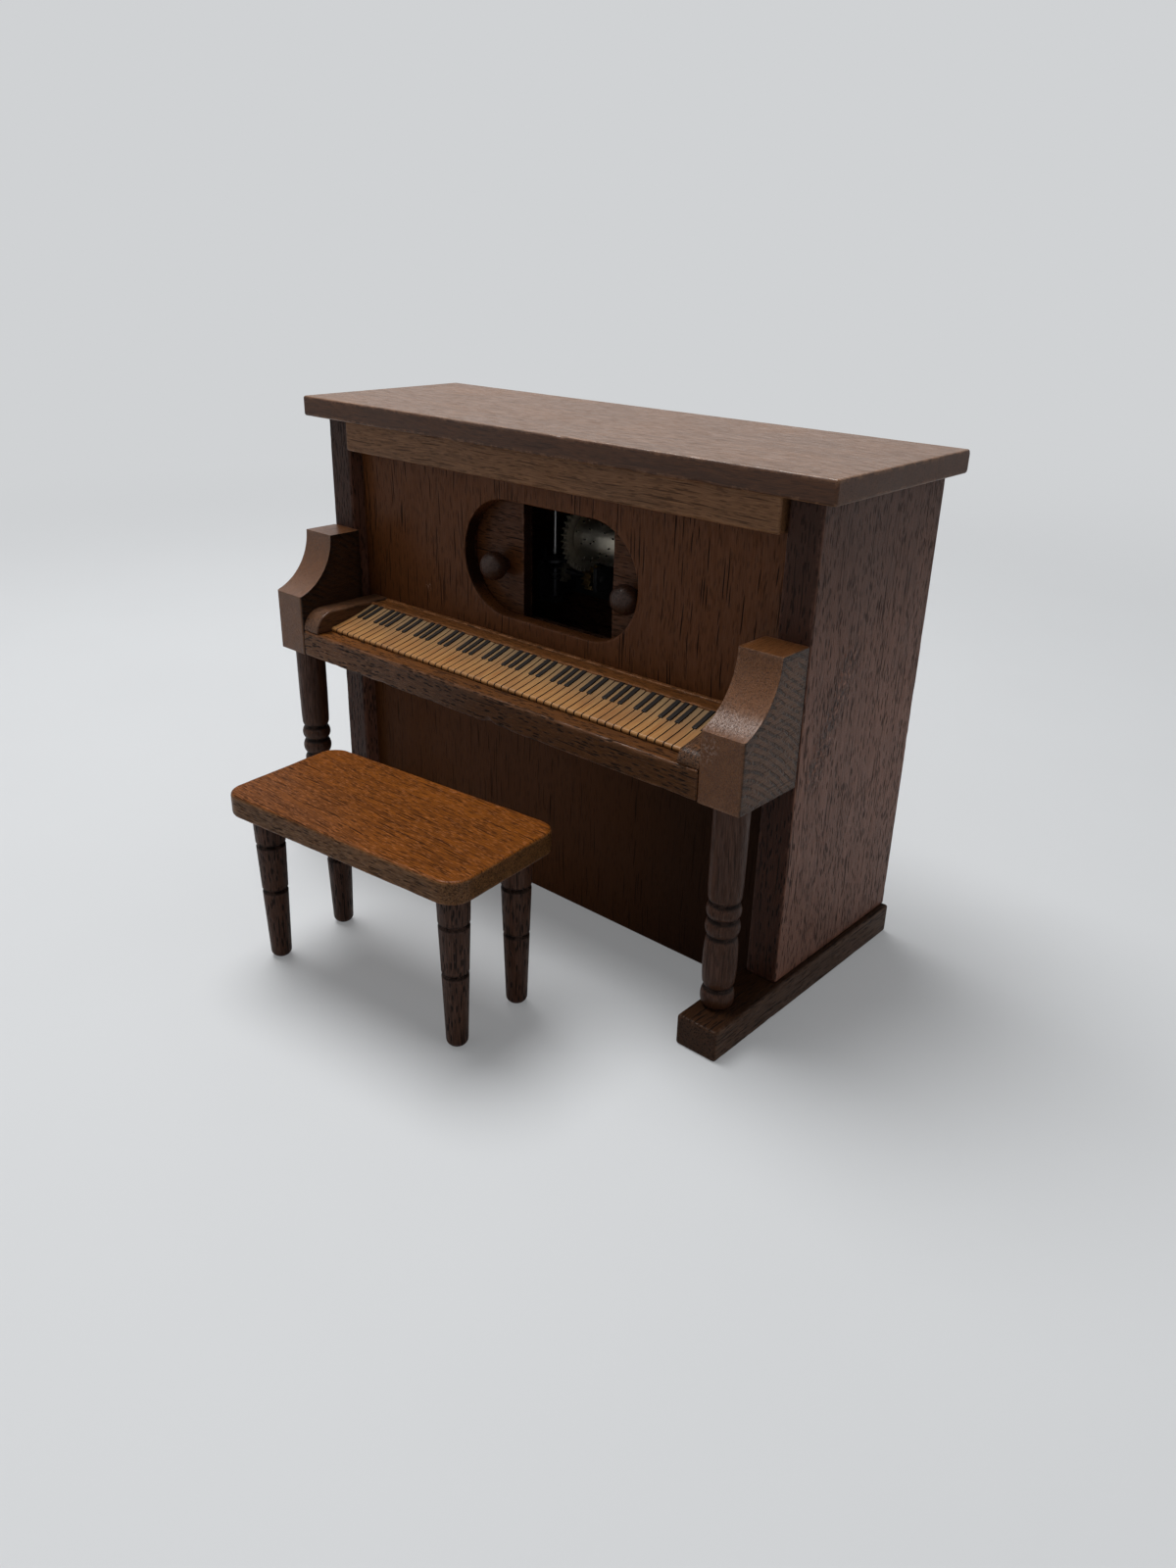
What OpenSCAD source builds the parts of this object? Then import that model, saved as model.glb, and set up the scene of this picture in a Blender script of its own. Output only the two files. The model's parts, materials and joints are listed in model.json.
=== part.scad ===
// Player-piano music box: a wooden upright case with a keyboard, two sliding doors in an
// oblong window, a pinned-cylinder movement on the back panel, a hinged lid and a bench.
// Millimetres. Z = 0 is the floor, +X the viewer's right, +Y the back.

/* [Case] */
// Width of the lid
lid_w = 160; // [150:0.5:170]
// Thickness of the lid
lid_t = 5; // [3:0.1:8]
// Height to the top of the lid
case_h = 119.75; // [100:0.25:140]
// Reach of the lid ahead of the side panels
lid_out = 4.3; // [0:0.1:10]
// Overhang of the lid past each side panel
lid_side = 4.65; // [1:0.05:8]
// Thickness of a side panel
side_t = 7.9; // [5:0.1:10]
// Depth of the side panels
case_d = 49.6; // [46:0.1:56]
// Set-back of the front panels from the side panels
front_in = 4; // [1:0.1:6]
// Thickness of the front, back and bottom boards
board_t = 4; // [3:0.1:5]
// Height of a base runner
runner_h = 7.5; // [5:0.1:10]
// Width of a base runner
runner_w = 10.4; // [8:0.1:14]
// Ledge of a runner outside its side panel
runner_ledge = 1.4; // [0:0.1:3]
// Reach of a runner ahead of the side panels
runner_out = 24.1; // [20:0.1:30]
// Height of the cornice under the lid
cornice_h = 7.7; // [4:0.1:9]
// Reach of the cornice ahead of the side panels
cornice_out = 1.4; // [0:0.1:3]
// Radius of the softened wooden edges
edge_r = 0.6; // [0.2:0.1:1]

/* [Window and doors] */
// Width of the window
win_w = 56; // [40:0.5:64]
// Height of the window
win_h = 28.5; // [20:0.5:32]
// Drop of the window's centre below the case's top
win_drop = 27.7; // [24:0.1:34]
// Width of a door
door_w = 34; // [30:0.5:38]
// Height of a door
door_h = 35; // [32:0.5:38]
// Thickness of a door
door_t = 3; // [2:0.1:3.5]
// Inner edge of the left door as photographed
left_edge = -11.5; // [-17:0.1:-0.3]
// Inner edge of the right door as photographed
right_edge = 17.3; // [0.3:0.1:17.3]
// Knob's distance from its door's inner edge
knob_in = 6.7; // [5:0.1:9]
// Diameter of a knob
knob_d = 7.1; // [5:0.1:8]
// Drop of the knobs below the window's centre
knob_drop = 2.5; // [-2:0.1:5]

/* [Arms and keyboard] */
// Width of an arm
arm_w = 10.4; // [9:0.1:12]
// Reach of an arm ahead of the side panels
arm_out = 20.4; // [16:0.1:24]
// Height of an arm's flat top
arm_top = 86.4; // [80:0.1:92]
// Length of an arm's flat top
arm_flat = 9.6; // [6:0.1:12]
// Height of an arm's front lip
lip_z = 71.8; // [68:0.1:76]
// Underside of the key bed and arms
bed_z = 56.2; // [52:0.1:60]
// Thickness of the key bed
bed_t = 6.7; // [5:0.1:8]
// Width of a key block
block_w = 5.8; // [4:0.1:8]
// Height of a key block
block_h = 5.4; // [4:0.1:7]
// Front of the white keys ahead of the side panels
key_out = 14.4; // [12:0.1:16]
// Thickness of the white keys
key_t = 2; // [1.5:0.1:3]
// Number of white keys
white_n = 52; // [7:1:52]
// Length of a black key
black_l = 8.3; // [6:0.1:10]
// Width of a black key
black_w = 1.05; // [0.7:0.05:1.4]
// Height of a black key above the white ones
black_t = 0.35; // [0.2:0.05:1]
// Height of the strip behind the keys
strip_h = 3.9; // [3:0.1:6]
// Column's distance ahead of the side panels
column_out = 15; // [10:0.1:16]

/* [Movement] */
// Cylinder's distance ahead of the back panel
cyl_back = 12.6; // [12.4:0.1:13.6]
// Rise of the cylinder's axis above the window's centre
cyl_rise = 1.8; // [0:0.1:3]
// Diameter of the cylinder
cyl_d = 13; // [11:0.1:13]
// Height of the cylinder's pins
pin_h = 0.5; // [0.3:0.05:0.6]
// Right face of the great wheel
wheel_x = -12; // [-13:0.1:-12]
// Thickness of the bedplate
plate_t = 2; // [1.5:0.1:2]
// Distance of the barrel's axis to the right of the middle
barrel_x = 22; // [22:0.1:23]
// Reach of the winding key behind the case
key_reach = 14.4; // [12:0.1:18]

/* [Bench] */
// Length of the seat
seat_l = 70; // [60:0.5:80]
// Depth of the seat
seat_d = 34; // [28:0.5:38]
// Thickness of the seat
seat_t = 5.4; // [4:0.1:7]
// Radius of the seat's corners
seat_r = 5; // [3:0.1:10]
// Height of the seat
seat_z = 44; // [38:0.5:50]
// Bench centre to the right of the middle
bench_x = 3.3; // [-10:0.1:10]
// Bench centre ahead of the side panels
bench_out = 49.4; // [46:0.1:60]
// Turn of the bench as photographed
bench_turn = 5.4; // [-10:0.1:10]

/* [Hidden] */
$fn = 48;
sx = lid_w/2 - lid_side;
ix = sx - side_t;
lid_z = case_h - lid_t;
case_top = lid_z - 0.05;
front_y = front_in + board_t;
back_y = case_d - board_t;
bed_top = bed_z + bed_t;
arm_x = sx - arm_w;
key_x = arm_x - block_w;
key_back = front_in - 3.4;
white_w = 2*key_x/white_n;
plate_y = back_y - plate_t;
joint_z = bed_z + bed_t/2;
runner_in = sx + runner_ledge - runner_w;
win_z = case_top - win_drop;
knob_z = win_z - knob_drop;
cyl_y = back_y - cyl_back;
cyl_z = win_z + cyl_rise;
door_y = front_y + 0.3;
door_z = win_z - door_h/2;
gov_y = cyl_y + 2.5;
gov_z = cyl_z - sqrt(144 - 6.25);
gov_a = atan2(gov_z - cyl_z, gov_y - cyl_y);
worm_x = -22.5;
worm_y = gov_y - 4.1;
worm_p = 0.45*PI;
frame_x = worm_x - 4.7;
fan_z = gov_z + 3.5;
fan_t = 0.8;
plate_x = [-31, barrel_x + 12];
plate_z = [cyl_z - 19.8, cyl_z + 23.2];
barrel_r = 11;
drum_r = 9.2;
crown_y = cyl_y + 4;
back_screw_in = 3.05;
back_screw_low = runner_h + 12.5;
back_screw_high = case_top - 14.7;
comb_x = -11.2;
comb_w = 18.2;
comb_z = cyl_z + 19.9;
comb_screw_x = [-6, 2];
tooth_n = 18;
bracket_x = -16.9;
post_x = 8.2;
post_t = 1.6;
track_x = ix - 9.45;
pin_r = 0.6;
pin_x = worm_x - 1.6;
pin_y = worm_y + 1.6;
hinge_x = 45;
hinge_y = case_d + 1.4;
hinge_z = case_top;
leg_l = seat_z - seat_t;
seat_front = (seat_d/2 - seat_r)*cos(bench_turn) + (seat_l/2 - seat_r)*sin(bench_turn) + seat_r;
y_shift = (bench_out + seat_front - case_d - key_reach)/2;
walnut = [0.30, 0.18, 0.12];
warm = [0.42, 0.24, 0.12];
tan_wood = [0.75, 0.55, 0.30];
ebony = [0.05, 0.05, 0.05];
steel = [0.62, 0.62, 0.64];
brass = [0.75, 0.58, 0.28];
zinc = [0.30, 0.30, 0.31];
nylon = [0.72, 0.66, 0.54];
screw_xz = [[plate_x[0] + 2.5, cyl_z + 19.8, 0], [plate_x[1] - 3.5, cyl_z + 19.8, 0],
    [plate_x[1] - 3.5, cyl_z - 16.8, 0], [bracket_x - 2.5, cyl_z, 1], [frame_x - 2, gov_z - 2, 1]];
back_screw_xz = [for (s = [-1, 1]) for (z = [back_screw_low, back_screw_high]) [s*(ix - back_screw_in), z]];

// Shapes shared by several pieces
module rrect(w, h, r) {
    translate([r, 0]) square([w - 2*r, h]);
    translate([0, r]) square([w, h - 2*r]);
    for (p = [[r, r], [w - r, r], [r, h - r], [w - r, h - r]]) translate(p) circle(r);
}

module rbox(a, b, r) {
    d = b - a;
    translate(a) intersection() {
        linear_extrude(d[2]) rrect(d[0], d[1], r);
        rotate([90, 0, 90]) linear_extrude(d[0]) rrect(d[1], d[2], r);
        translate([0, d[1], 0]) rotate([90, 0, 0]) linear_extrude(d[1]) rrect(d[0], d[2], r);
    }
}

module box(a, b) {
    translate(a) cube(b - a);
}

module rod_x(y, z, x1, x2, r) {
    translate([x1, y, z]) rotate([0, 90, 0]) cylinder(h = x2 - x1, r = r);
}

module rod_y(x, z, y1, y2, r) {
    translate([x, y2, z]) rotate([90, 0, 0]) cylinder(h = y2 - y1, r = r);
}

module rod_z(x, y, z1, z2, r) {
    translate([x, y, z1]) cylinder(h = z2 - z1, r = r);
}

// A plane drawn in (Y, Z) and pushed along X
module along_x(x1, x2) {
    translate([x1, 0, 0]) rotate([90, 0, 90]) linear_extrude(x2 - x1) children();
}

// A plane drawn in (X, Z) and pushed along Y
module along_y(y1, y2) {
    translate([0, y2, 0]) rotate([90, 0, 0]) linear_extrude(y2 - y1) children();
}

module at() {
    translate([0, y_shift, 0]) children();
}

function tooth(r1, r2, w1, w2, a) = [
    [r1*cos(a - w1/2/r1*180/PI), r1*sin(a - w1/2/r1*180/PI)],
    [r2*cos(a - w2/2/r2*180/PI), r2*sin(a - w2/2/r2*180/PI)],
    [r2*cos(a + w2/2/r2*180/PI), r2*sin(a + w2/2/r2*180/PI)],
    [r1*cos(a + w1/2/r1*180/PI), r1*sin(a + w1/2/r1*180/PI)]];

module gear2d(n, r1, r2, w1, w2, phase, bore) {
    difference() {
        polygon([for (i = [0:n - 1]) each tooth(r1, r2, w1, w2, phase + i*360/n)]);
        circle(bore);
    }
}

// Faces of a tube of n steps whose rings have m points each
function tube_faces(n, m) = concat([[for (k = [0:m - 1]) k]],
    [for (i = [0:n - 1]) for (k = [0:m - 1]) let (p = m*i + k, q = m*i + (k + 1)%m)
        each [[p, p + m, q + m], [p, q + m, q]]],
    [[for (k = [m - 1:-1:0]) m*n + k]]);

// Case
module side_panel() {
    rbox([ix, 0, runner_h], [sx, case_d, case_top], edge_r);
}

module left_side_panel() color(walnut) at() mirror([1, 0, 0]) side_panel();

module right_side_panel() color(walnut) at() side_panel();

module runner() {
    rbox([runner_in, -runner_out, 0], [runner_in + runner_w, case_d, runner_h], edge_r);
}

module left_runner() color(walnut) at() mirror([1, 0, 0]) runner();

module right_runner() color(walnut) at() runner();

module window2d() {
    r = win_h/2;
    translate([-win_w/2 + r, -r]) square([win_w - win_h, win_h]);
    for (s = [-1, 1]) translate([s*(win_w/2 - r), 0]) circle(r, $fn = 96);
}

module upper_front_panel() color(walnut) at() difference() {
    box([-ix, front_in, joint_z], [ix, front_y, case_top]);
    translate([0, 0, win_z]) along_y(front_in - 1, front_y + 1) window2d();
}

module lower_front_panel() color(walnut) at() {
    box([-ix, front_in, runner_h], [ix, front_y, joint_z]);
    box([-min(ix, runner_in), front_in, 0.4], [min(ix, runner_in), front_y, runner_h + 0.1]);
}

module cornice() color(walnut) at()
    rbox([-ix + 0.8, -cornice_out, case_top - cornice_h], [ix - 0.8, front_in, case_top], edge_r);

module bottom_board() color(walnut) at()
    box([-ix, front_y, runner_h], [ix, back_y, runner_h + board_t]);

module back_panel() color(walnut) at() difference() {
    box([-ix, back_y, runner_h], [ix, case_d, case_top]);
    rod_y(barrel_x, cyl_z, back_y - 1, case_d + 1, 3.5);
    for (p = back_screw_xz) back_screw(p, 0.001);
    for (p = screw_xz) rod_y(p[0], p[1], back_y - 1, plate_y - 1.2*p[2] + 4.5, 1);
    for (h = [-1, 1]) for (s = [-1, 1]) rod_y(h*hinge_x + s*6, case_top - 5, case_d - 3.4, case_d + 1, 0.6);
}

module batten() {
    difference() {
        box([ix - 6, back_y - 6, runner_h + board_t], [ix, back_y, case_top]);
        for (p = back_screw_xz) back_screw([abs(p[0]), p[1]], 0);
    }
}

module left_batten() color(walnut) at() mirror([1, 0, 0]) batten();

module right_batten() color(walnut) at() batten();

module back_screw(p, c) {
    rod_y(p[0], p[1], case_d - 9, case_d - 0.5, 1.1);
    rod_y(p[0], p[1], case_d - 1.3, case_d + c, 2.1);
}

module back_screws() color(brass) at() for (p = back_screw_xz) difference() {
    back_screw(p, 0);
    translate([p[0] - 3, case_d - 0.5, p[1] - 0.3]) cube([6, 1, 0.6]);
}

// Arms, columns and keyboard
module arm() {
    reach = arm_out - arm_flat;
    r = (reach*reach + pow(arm_top - lip_z, 2))/(2*reach);
    intersection() {
        along_x(arm_x, sx) difference() {
            translate([-arm_out, bed_z]) square([arm_out, arm_top - bed_z]);
            translate([-arm_flat - r, arm_top]) circle(r, $fn = 96);
        }
        translate([arm_x, -arm_out, 0]) linear_extrude(case_h) rrect(arm_w, arm_out, edge_r);
    }
}

module left_arm() color(walnut) at() mirror([1, 0, 0]) arm();

module right_arm() color(walnut) at() arm();

column_h = bed_z - runner_h;
column_rz = [[0, 0], [2.5, 0], [3.2, 0.4], [3.6, 1.2], [3.75, 2.4], [3.65, 3.6], [3.35, 4.4], [3.0, 4.8],
    [3.0, 5.2], [3.35, 5.5], [3.55, 6.2], [3.65, 8], [3.75, 12], [3.72, 15.5], [3.6, 16.8], [3.35, 17.5],
    [2.95, 17.9], [3.4, 18.3], [3.7, 18.9], [3.8, 19.95], [3.7, 21], [3.4, 21.6], [2.95, 22], [3.4, 22.4],
    [3.7, 23], [3.8, 24], [3.7, 24.9], [3.4, 25.5], [2.95, 25.9], [3.35, 26.3], [3.6, 27], [3.7, 29],
    [3.8, 36], [3.85, column_h], [0, column_h]];

module column() {
    translate([arm_x + arm_w/2, -column_out, runner_h]) rotate_extrude() polygon(column_rz);
}

module left_column() color(walnut) at() mirror([1, 0, 0]) column();

module right_column() color(walnut) at() column();

module key_bed() color(warm) at()
    rbox([-arm_x, -arm_out, bed_z], [arm_x, front_in, bed_top], edge_r);

module key2d(d) {
    r = key_t/2;
    translate([-key_out + r, bed_top]) square([key_out - r + key_back, key_t - d]);
    translate([-key_out + r, bed_top + r]) circle(r - d);
}

module white_keys() color(tan_wood) at() difference() {
    along_x(-key_x, key_x) key2d(0);
    for (i = [1:white_n - 1]) along_x(-key_x + i*white_w - 0.12, -key_x + i*white_w + 0.12) difference() {
        translate([-key_out - 1, bed_top - 1]) square([key_out + key_back + 2, key_t + 2]);
        key2d(0.4);
        translate([-key_out, bed_top - 2]) square([key_out + key_back + 3, 2]);
    }
}

module black_keys() color(ebony) at() for (i = [0:white_n - 2])
    if (i%7 == 0 || i%7 == 1 || i%7 == 3 || i%7 == 4 || i%7 == 5)
        translate([-key_x + (i + 1)*white_w - black_w/2, key_back - black_l, bed_top + key_t])
            cube([black_w, black_l, black_t]);

module fall_strip() color(warm) at() along_x(-key_x, key_x) {
    translate([key_back, bed_top]) square([front_in - key_back, strip_h - 0.9]);
    translate([key_back + 0.5, bed_top]) square([front_in - key_back - 0.5, strip_h]);
}

module key_block() {
    nose_y = block_h - arm_out + 0.3;
    along_x(key_x, arm_x) intersection() {
        translate([nose_y, bed_top]) union() {
            circle(block_h);
            square([front_in - nose_y, block_h]);
        }
        translate([-arm_out - 1, bed_top]) square([arm_out + front_in + 1, block_h]);
    }
}

module left_key_block() color(walnut) at() mirror([1, 0, 0]) key_block();

module right_key_block() color(walnut) at() key_block();

// Sliding doors and their tracks
module track2d() {
    square([4.6, 2.4]);
    translate([3.6, 0]) square([1, 4.6]);
}

module lower_track() color(walnut) at() along_x(-track_x, track_x)
    translate([front_y, door_z - 2.7]) track2d();

module upper_track() color(walnut) at() along_x(-track_x, track_x)
    translate([front_y, door_z + door_h + 2.7]) mirror([0, 1]) track2d();

module door(x1, knob_x) {
    difference() {
        box([x1, door_y, door_z], [x1 + door_w, door_y + door_t, door_z + door_h]);
        rod_y(knob_x, knob_z, door_y - 1, door_y + door_t + 1, 1.2);
    }
}

knob_rz = concat([[0, -door_t], [1.2, -door_t], [1.2, 0], [1.9, 0], [1.9, 0.6]],
    [for (a = [-60:10:80]) [knob_d/2*cos(a), 3.75 + 3.35*sin(a)]], [[0, 7.1]]);

module knob(x) {
    translate([x, door_y, knob_z]) rotate([90, 0, 0]) rotate_extrude() polygon(knob_rz);
}

module left_door() color(walnut) at() door(left_edge - door_w, left_edge - knob_in);

module right_door() color(walnut) at() door(right_edge, right_edge + knob_in);

module left_door_knob() color(warm) at() knob(left_edge - knob_in);

module right_door_knob() color(warm) at() knob(right_edge + knob_in);

// Lid, hinges and the stop pin that hangs from the lid
module top_lid() color(walnut) at() difference() {
    rbox([-lid_w/2, -lid_out, lid_z], [lid_w/2, case_d, case_h], 1);
    rod_z(pin_x, pin_y, lid_z - 1, lid_z + 3, pin_r);
    for (h = [-1, 1]) for (s = [-1, 1]) rod_y(h*hinge_x + s*6, lid_z + 2.5, case_d - 6, case_d + 1, 0.6);
}

module stop_pin() color(steel) at() {
    tip = fan_z + fan_t + pin_r + 0.2;
    rod_z(pin_x, pin_y, tip, lid_z + 3, pin_r);
    translate([pin_x, pin_y, tip]) sphere(pin_r, $fn = 32);
}

module hinge_case_leaves() color(brass) at() for (h = [-1, 1]) translate([h*hinge_x, 0, 0]) difference() {
    union() {
        box([-9, case_d, case_top - 9], [9, case_d + 0.7, case_top - 1.7]);
        for (s = [-1, 1]) {
            box([s*6.3 - 2.7, case_d, case_top - 2], [s*6.3 + 2.7, case_d + 0.7, case_top - 0.3]);
            rod_x(hinge_y, hinge_z, s*6.3 - 2.7, s*6.3 + 2.7, 1.2);
        }
    }
    rod_x(hinge_y, hinge_z, -10, 10, 0.6);
    for (s = [-1, 1]) rod_y(s*6, case_top - 5, case_d - 1, case_d + 2, 0.6);
}

module hinge_lid_leaves() color(brass) at() for (h = [-1, 1]) translate([h*hinge_x, 0, 0]) difference() {
    union() {
        box([-9, case_d, lid_z + 1.3], [9, case_d + 0.7, lid_z + 3.8]);
        box([-3.4, case_d, lid_z + 0.2], [3.4, case_d + 0.7, lid_z + 1.5]);
        rod_x(hinge_y, hinge_z, -3.4, 3.4, 1.2);
    }
    rod_x(hinge_y, hinge_z, -10, 10, 0.65);
    for (s = [-1, 1]) rod_y(s*6, lid_z + 2.5, case_d - 1, case_d + 2, 0.6);
}

module hinge_pins() color(brass) at() for (h = [-1, 1])
    rod_x(hinge_y, hinge_z, h*hinge_x - 9.3, h*hinge_x + 9.3, 0.6);

module hinge_screws(z, depth) {
    for (h = [-1, 1]) for (s = [-1, 1]) {
        rod_y(h*hinge_x + s*6, z, case_d - depth, case_d + 0.8, 0.6);
        rod_y(h*hinge_x + s*6, z, case_d + 0.7, case_d + 1.2, 1.1);
    }
}

module hinge_case_screws() color(brass) at() hinge_screws(case_top - 5, 3.4);

module hinge_lid_screws() color(brass) at() hinge_screws(lid_z + 2.5, 6);

// Movement, fixed pieces
module bedplate() color(zinc) at() difference() {
    union() {
        box([plate_x[0], plate_y, plate_z[0]], [plate_x[1], back_y, plate_z[1]]);
        box([comb_x, cyl_y + 0.4, comb_z - 3.1], [comb_x + comb_w, plate_y + 0.5, comb_z + 3.1]);
        box([post_x, cyl_y - 2.8, cyl_z - 3], [post_x + post_t, plate_y + 0.5, cyl_z + 3]);
        box([-10.8, gov_y - 2, gov_z - 3], [-9.6, plate_y + 0.5, gov_z + 3]);
        rod_y(barrel_x + 5, cyl_z, plate_y - 1.2, plate_y + 0.5, 0.6);
    }
    rod_x(cyl_y, cyl_z, post_x - 1, post_x + post_t + 1, 1.15);
    rod_x(gov_y, gov_z, -11, -9, 0.85);
    rod_y(barrel_x, cyl_z, plate_y - 1, back_y + 1, 2.05);
    for (p = screw_xz) rod_y(p[0], p[1], plate_y - 1, back_y + 1, 1);
    for (x = comb_screw_x) rod_y(x, comb_z, cyl_y - 1, cyl_y + 6, 0.9);
}

module left_bracket() color(zinc) at() difference() {
    union() {
        box([bracket_x - 4.7, plate_y - 1.2, cyl_z - 3], [bracket_x + post_t, plate_y, cyl_z + 3]);
        box([bracket_x, cyl_y - 2.8, cyl_z - 3], [bracket_x + post_t, plate_y, cyl_z + 3]);
    }
    rod_x(cyl_y, cyl_z, bracket_x - 1, bracket_x + post_t + 1, 1.15);
    rod_y(bracket_x - 2.5, cyl_z, plate_y - 2, plate_y + 1, 1);
}

module governor_frame() color(brass) at() difference() {
    union() {
        box([frame_x - 3.8, plate_y - 1.2, gov_z - 5], [frame_x + 1.2, plate_y, gov_z + 1]);
        box([frame_x, worm_y - 1.9, gov_z - 7.7], [frame_x + 1.2, plate_y, gov_z + 3]);
        box([frame_x, worm_y - 1.5, gov_z - 7.7], [worm_x + 1.5, worm_y + 1.3, gov_z - 5.9]);
        box([frame_x, worm_y - 1.5, gov_z + 1.8], [worm_x + 1.5, worm_y + 1.2, gov_z + 2.8]);
    }
    rod_x(gov_y, gov_z, frame_x - 1, frame_x + 2, 0.85);
    rod_z(worm_x, worm_y, gov_z - 8, gov_z + 3.4, 0.65);
    rod_y(frame_x - 2, gov_z - 2, plate_y - 2, plate_y + 1, 1);
}

module movement_screws() color(steel) at() for (p = screw_xz) translate([0, -1.2*p[2], 0]) difference() {
    union() {
        rod_y(p[0], p[1], plate_y - 0.1, plate_y + 4.5, 1);
        rod_y(p[0], p[1], plate_y - 0.9, plate_y, 1.5);
    }
    box([p[0] - 2, plate_y - 1.5, p[1] - 0.2], [p[0] + 2, plate_y - 0.5, p[1] + 0.2]);
}

module comb() color(steel) at() along_y(cyl_y - 0.4, cyl_y + 0.4) difference() {
    translate([comb_x, cyl_z + cyl_d/2 + pin_h + 0.25]) square([comb_w, 15.6]);
    for (i = [0:tooth_n - 2]) translate([comb_x + 0.975 + i, cyl_z]) square([0.25, comb_z - cyl_z - 3.9]);
    for (x = comb_screw_x) translate([x, comb_z]) circle(0.9);
}

module comb_screws() color(steel) at() for (x = comb_screw_x) difference() {
    union() {
        rod_y(x, comb_z, cyl_y - 0.5, cyl_y + 6, 0.9);
        rod_y(x, comb_z, cyl_y - 1.4, cyl_y - 0.4, 1.7);
    }
    box([x - 2, cyl_y - 2, comb_z - 0.2], [x + 2, cyl_y - 0.9, comb_z + 0.2]);
}

// Click spring: two turns round the winding arbor, then one that opens out to its post
click_n = 72;
click_wire = 0.16;
click_pts = [for (i = [0:click_n]) let (a = i*15, out = max(0, i - 48)/24)
    for (k = [0:5]) let (r = 2.3 + 1.92*out*out + click_wire*cos(k*60))
        [r*cos(a), plate_y - 1.45 + 1.1*min(i, 48)/48 + click_wire*sin(k*60), r*sin(a)]];

module click_spring() color(steel) at() translate([barrel_x, 0, cyl_z])
    polyhedron(click_pts, tube_faces(click_n, 6));

// Movement, turning pieces
module cylinder_arbor() color(steel) at() rod_x(cyl_y, cyl_z, bracket_x - 0.5, 13.2, 1.1);

module great_wheel() color(nylon) at() translate([0, cyl_y, cyl_z]) along_x(wheel_x - 1.4, wheel_x)
    gear2d(36, 8.45, 9.45, 0.75, 0.35, gov_a, 1.1);

module cylinder_pinion() color(brass) at() translate([0, cyl_y, cyl_z]) along_x(11.2, 12.8)
    gear2d(12, 2.75, 3.83, 0.7, 0.35, 15, 1.1);

module music_cylinder() color(brass) at() translate([0, cyl_y, cyl_z]) difference() {
    union() {
        rod_x(0, 0, wheel_x + 0.4, 7.4, cyl_d/2);
        for (i = [0:tooth_n - 1]) for (j = [0:4]) rotate([i*47 + j*71 + (i*j*17)%23, 0, 0])
            rod_z(comb_x + 0.6 + i, 0, cyl_d/2 - 0.6, cyl_d/2 + pin_h, 0.2);
    }
    rod_x(0, 0, wheel_x - 1, post_x, 1.1);
}

module spring_barrel() color(brass) at() {
    difference() {
        rod_y(barrel_x, cyl_z, crown_y, plate_y - 1.8, barrel_r);
        rod_y(barrel_x, cyl_z, crown_y - 1, plate_y - 2.6, drum_r);
        rod_y(barrel_x, cyl_z, crown_y - 1, plate_y, 2.05);
    }
    for (i = [0:35]) translate([barrel_x, cyl_y, cyl_z]) rotate([0, i*10, 0])
        along_x(drum_r, barrel_r - 0.1) polygon([[4.2, -0.4], [2.85, -0.18], [2.85, 0.18], [4.2, 0.4]]);
}

module barrel_cover() color(brass) at() difference() {
    rod_y(barrel_x, cyl_z, crown_y + 0.1, crown_y + 0.8, drum_r);
    rod_y(barrel_x, cyl_z, crown_y, crown_y + 1, 2.05);
}

function coil(a, d) = [(3.1 + 5.7*a/2520 + d)*cos(a), (3.1 + 5.7*a/2520 + d)*sin(a)];

module mainspring() color(steel) at() translate([barrel_x, 0, cyl_z]) along_y(cyl_y + 5.1, plate_y - 2.8)
    polygon(concat([for (a = [0:15:2520]) coil(a, 0)], [for (a = [2520:-15:0]) coil(a, 0.25)]));

module governor_arbor() color(steel) at() rod_x(gov_y, gov_z, frame_x + 0.2, -9.8, 0.8);

module governor_pinion() color(brass) at() translate([0, gov_y, gov_z]) along_x(wheel_x - 1.9, wheel_x + 0.5)
    gear2d(12, 2.4, 3.45, 0.7, 0.35, gov_a + 195, 0.8);

module worm_wheel() color(nylon) at() translate([0, gov_y, gov_z]) along_x(worm_x - 0.7, worm_x + 0.7)
    gear2d(12, 2.1, 3.05, 0.5, 0.26, 180, 0.8);

// One right-hand thread of the worm, which starts below the wheel's axis and ends above it
worm_n = 40;
worm_pts = [for (i = [0:worm_n]) let (a = 20*i - 530, z = gov_z + worm_p/2 + worm_p*(a - 90)/360)
    each [[0.7*cos(a), 0.7*sin(a), z + 0.188], [1.7*cos(a), 1.7*sin(a), z + 0.11],
        [1.7*cos(a), 1.7*sin(a), z - 0.11], [0.7*cos(a), 0.7*sin(a), z - 0.188]]];

module worm_shaft() color(steel) at() {
    rod_z(worm_x, worm_y, gov_z - 7.5, fan_z + fan_t, 0.6);
    rod_z(worm_x, worm_y, gov_z - 5.7, gov_z + 1.6, 0.85);
    translate([worm_x, worm_y, 0]) polyhedron(worm_pts, tube_faces(worm_n, 4));
}

module fan() color(steel) at() translate([worm_x, worm_y, 0]) difference() {
    union() {
        rod_z(0, 0, fan_z, fan_z + fan_t, 3.4);
        for (s = [-1, 1]) box([s*4.1 - 0.9, -0.25, fan_z], [s*4.1 + 0.9, 0.25, fan_z + 2.8]);
    }
    rod_z(0, 0, fan_z - 1, fan_z + 2, 0.6);
}

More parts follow.
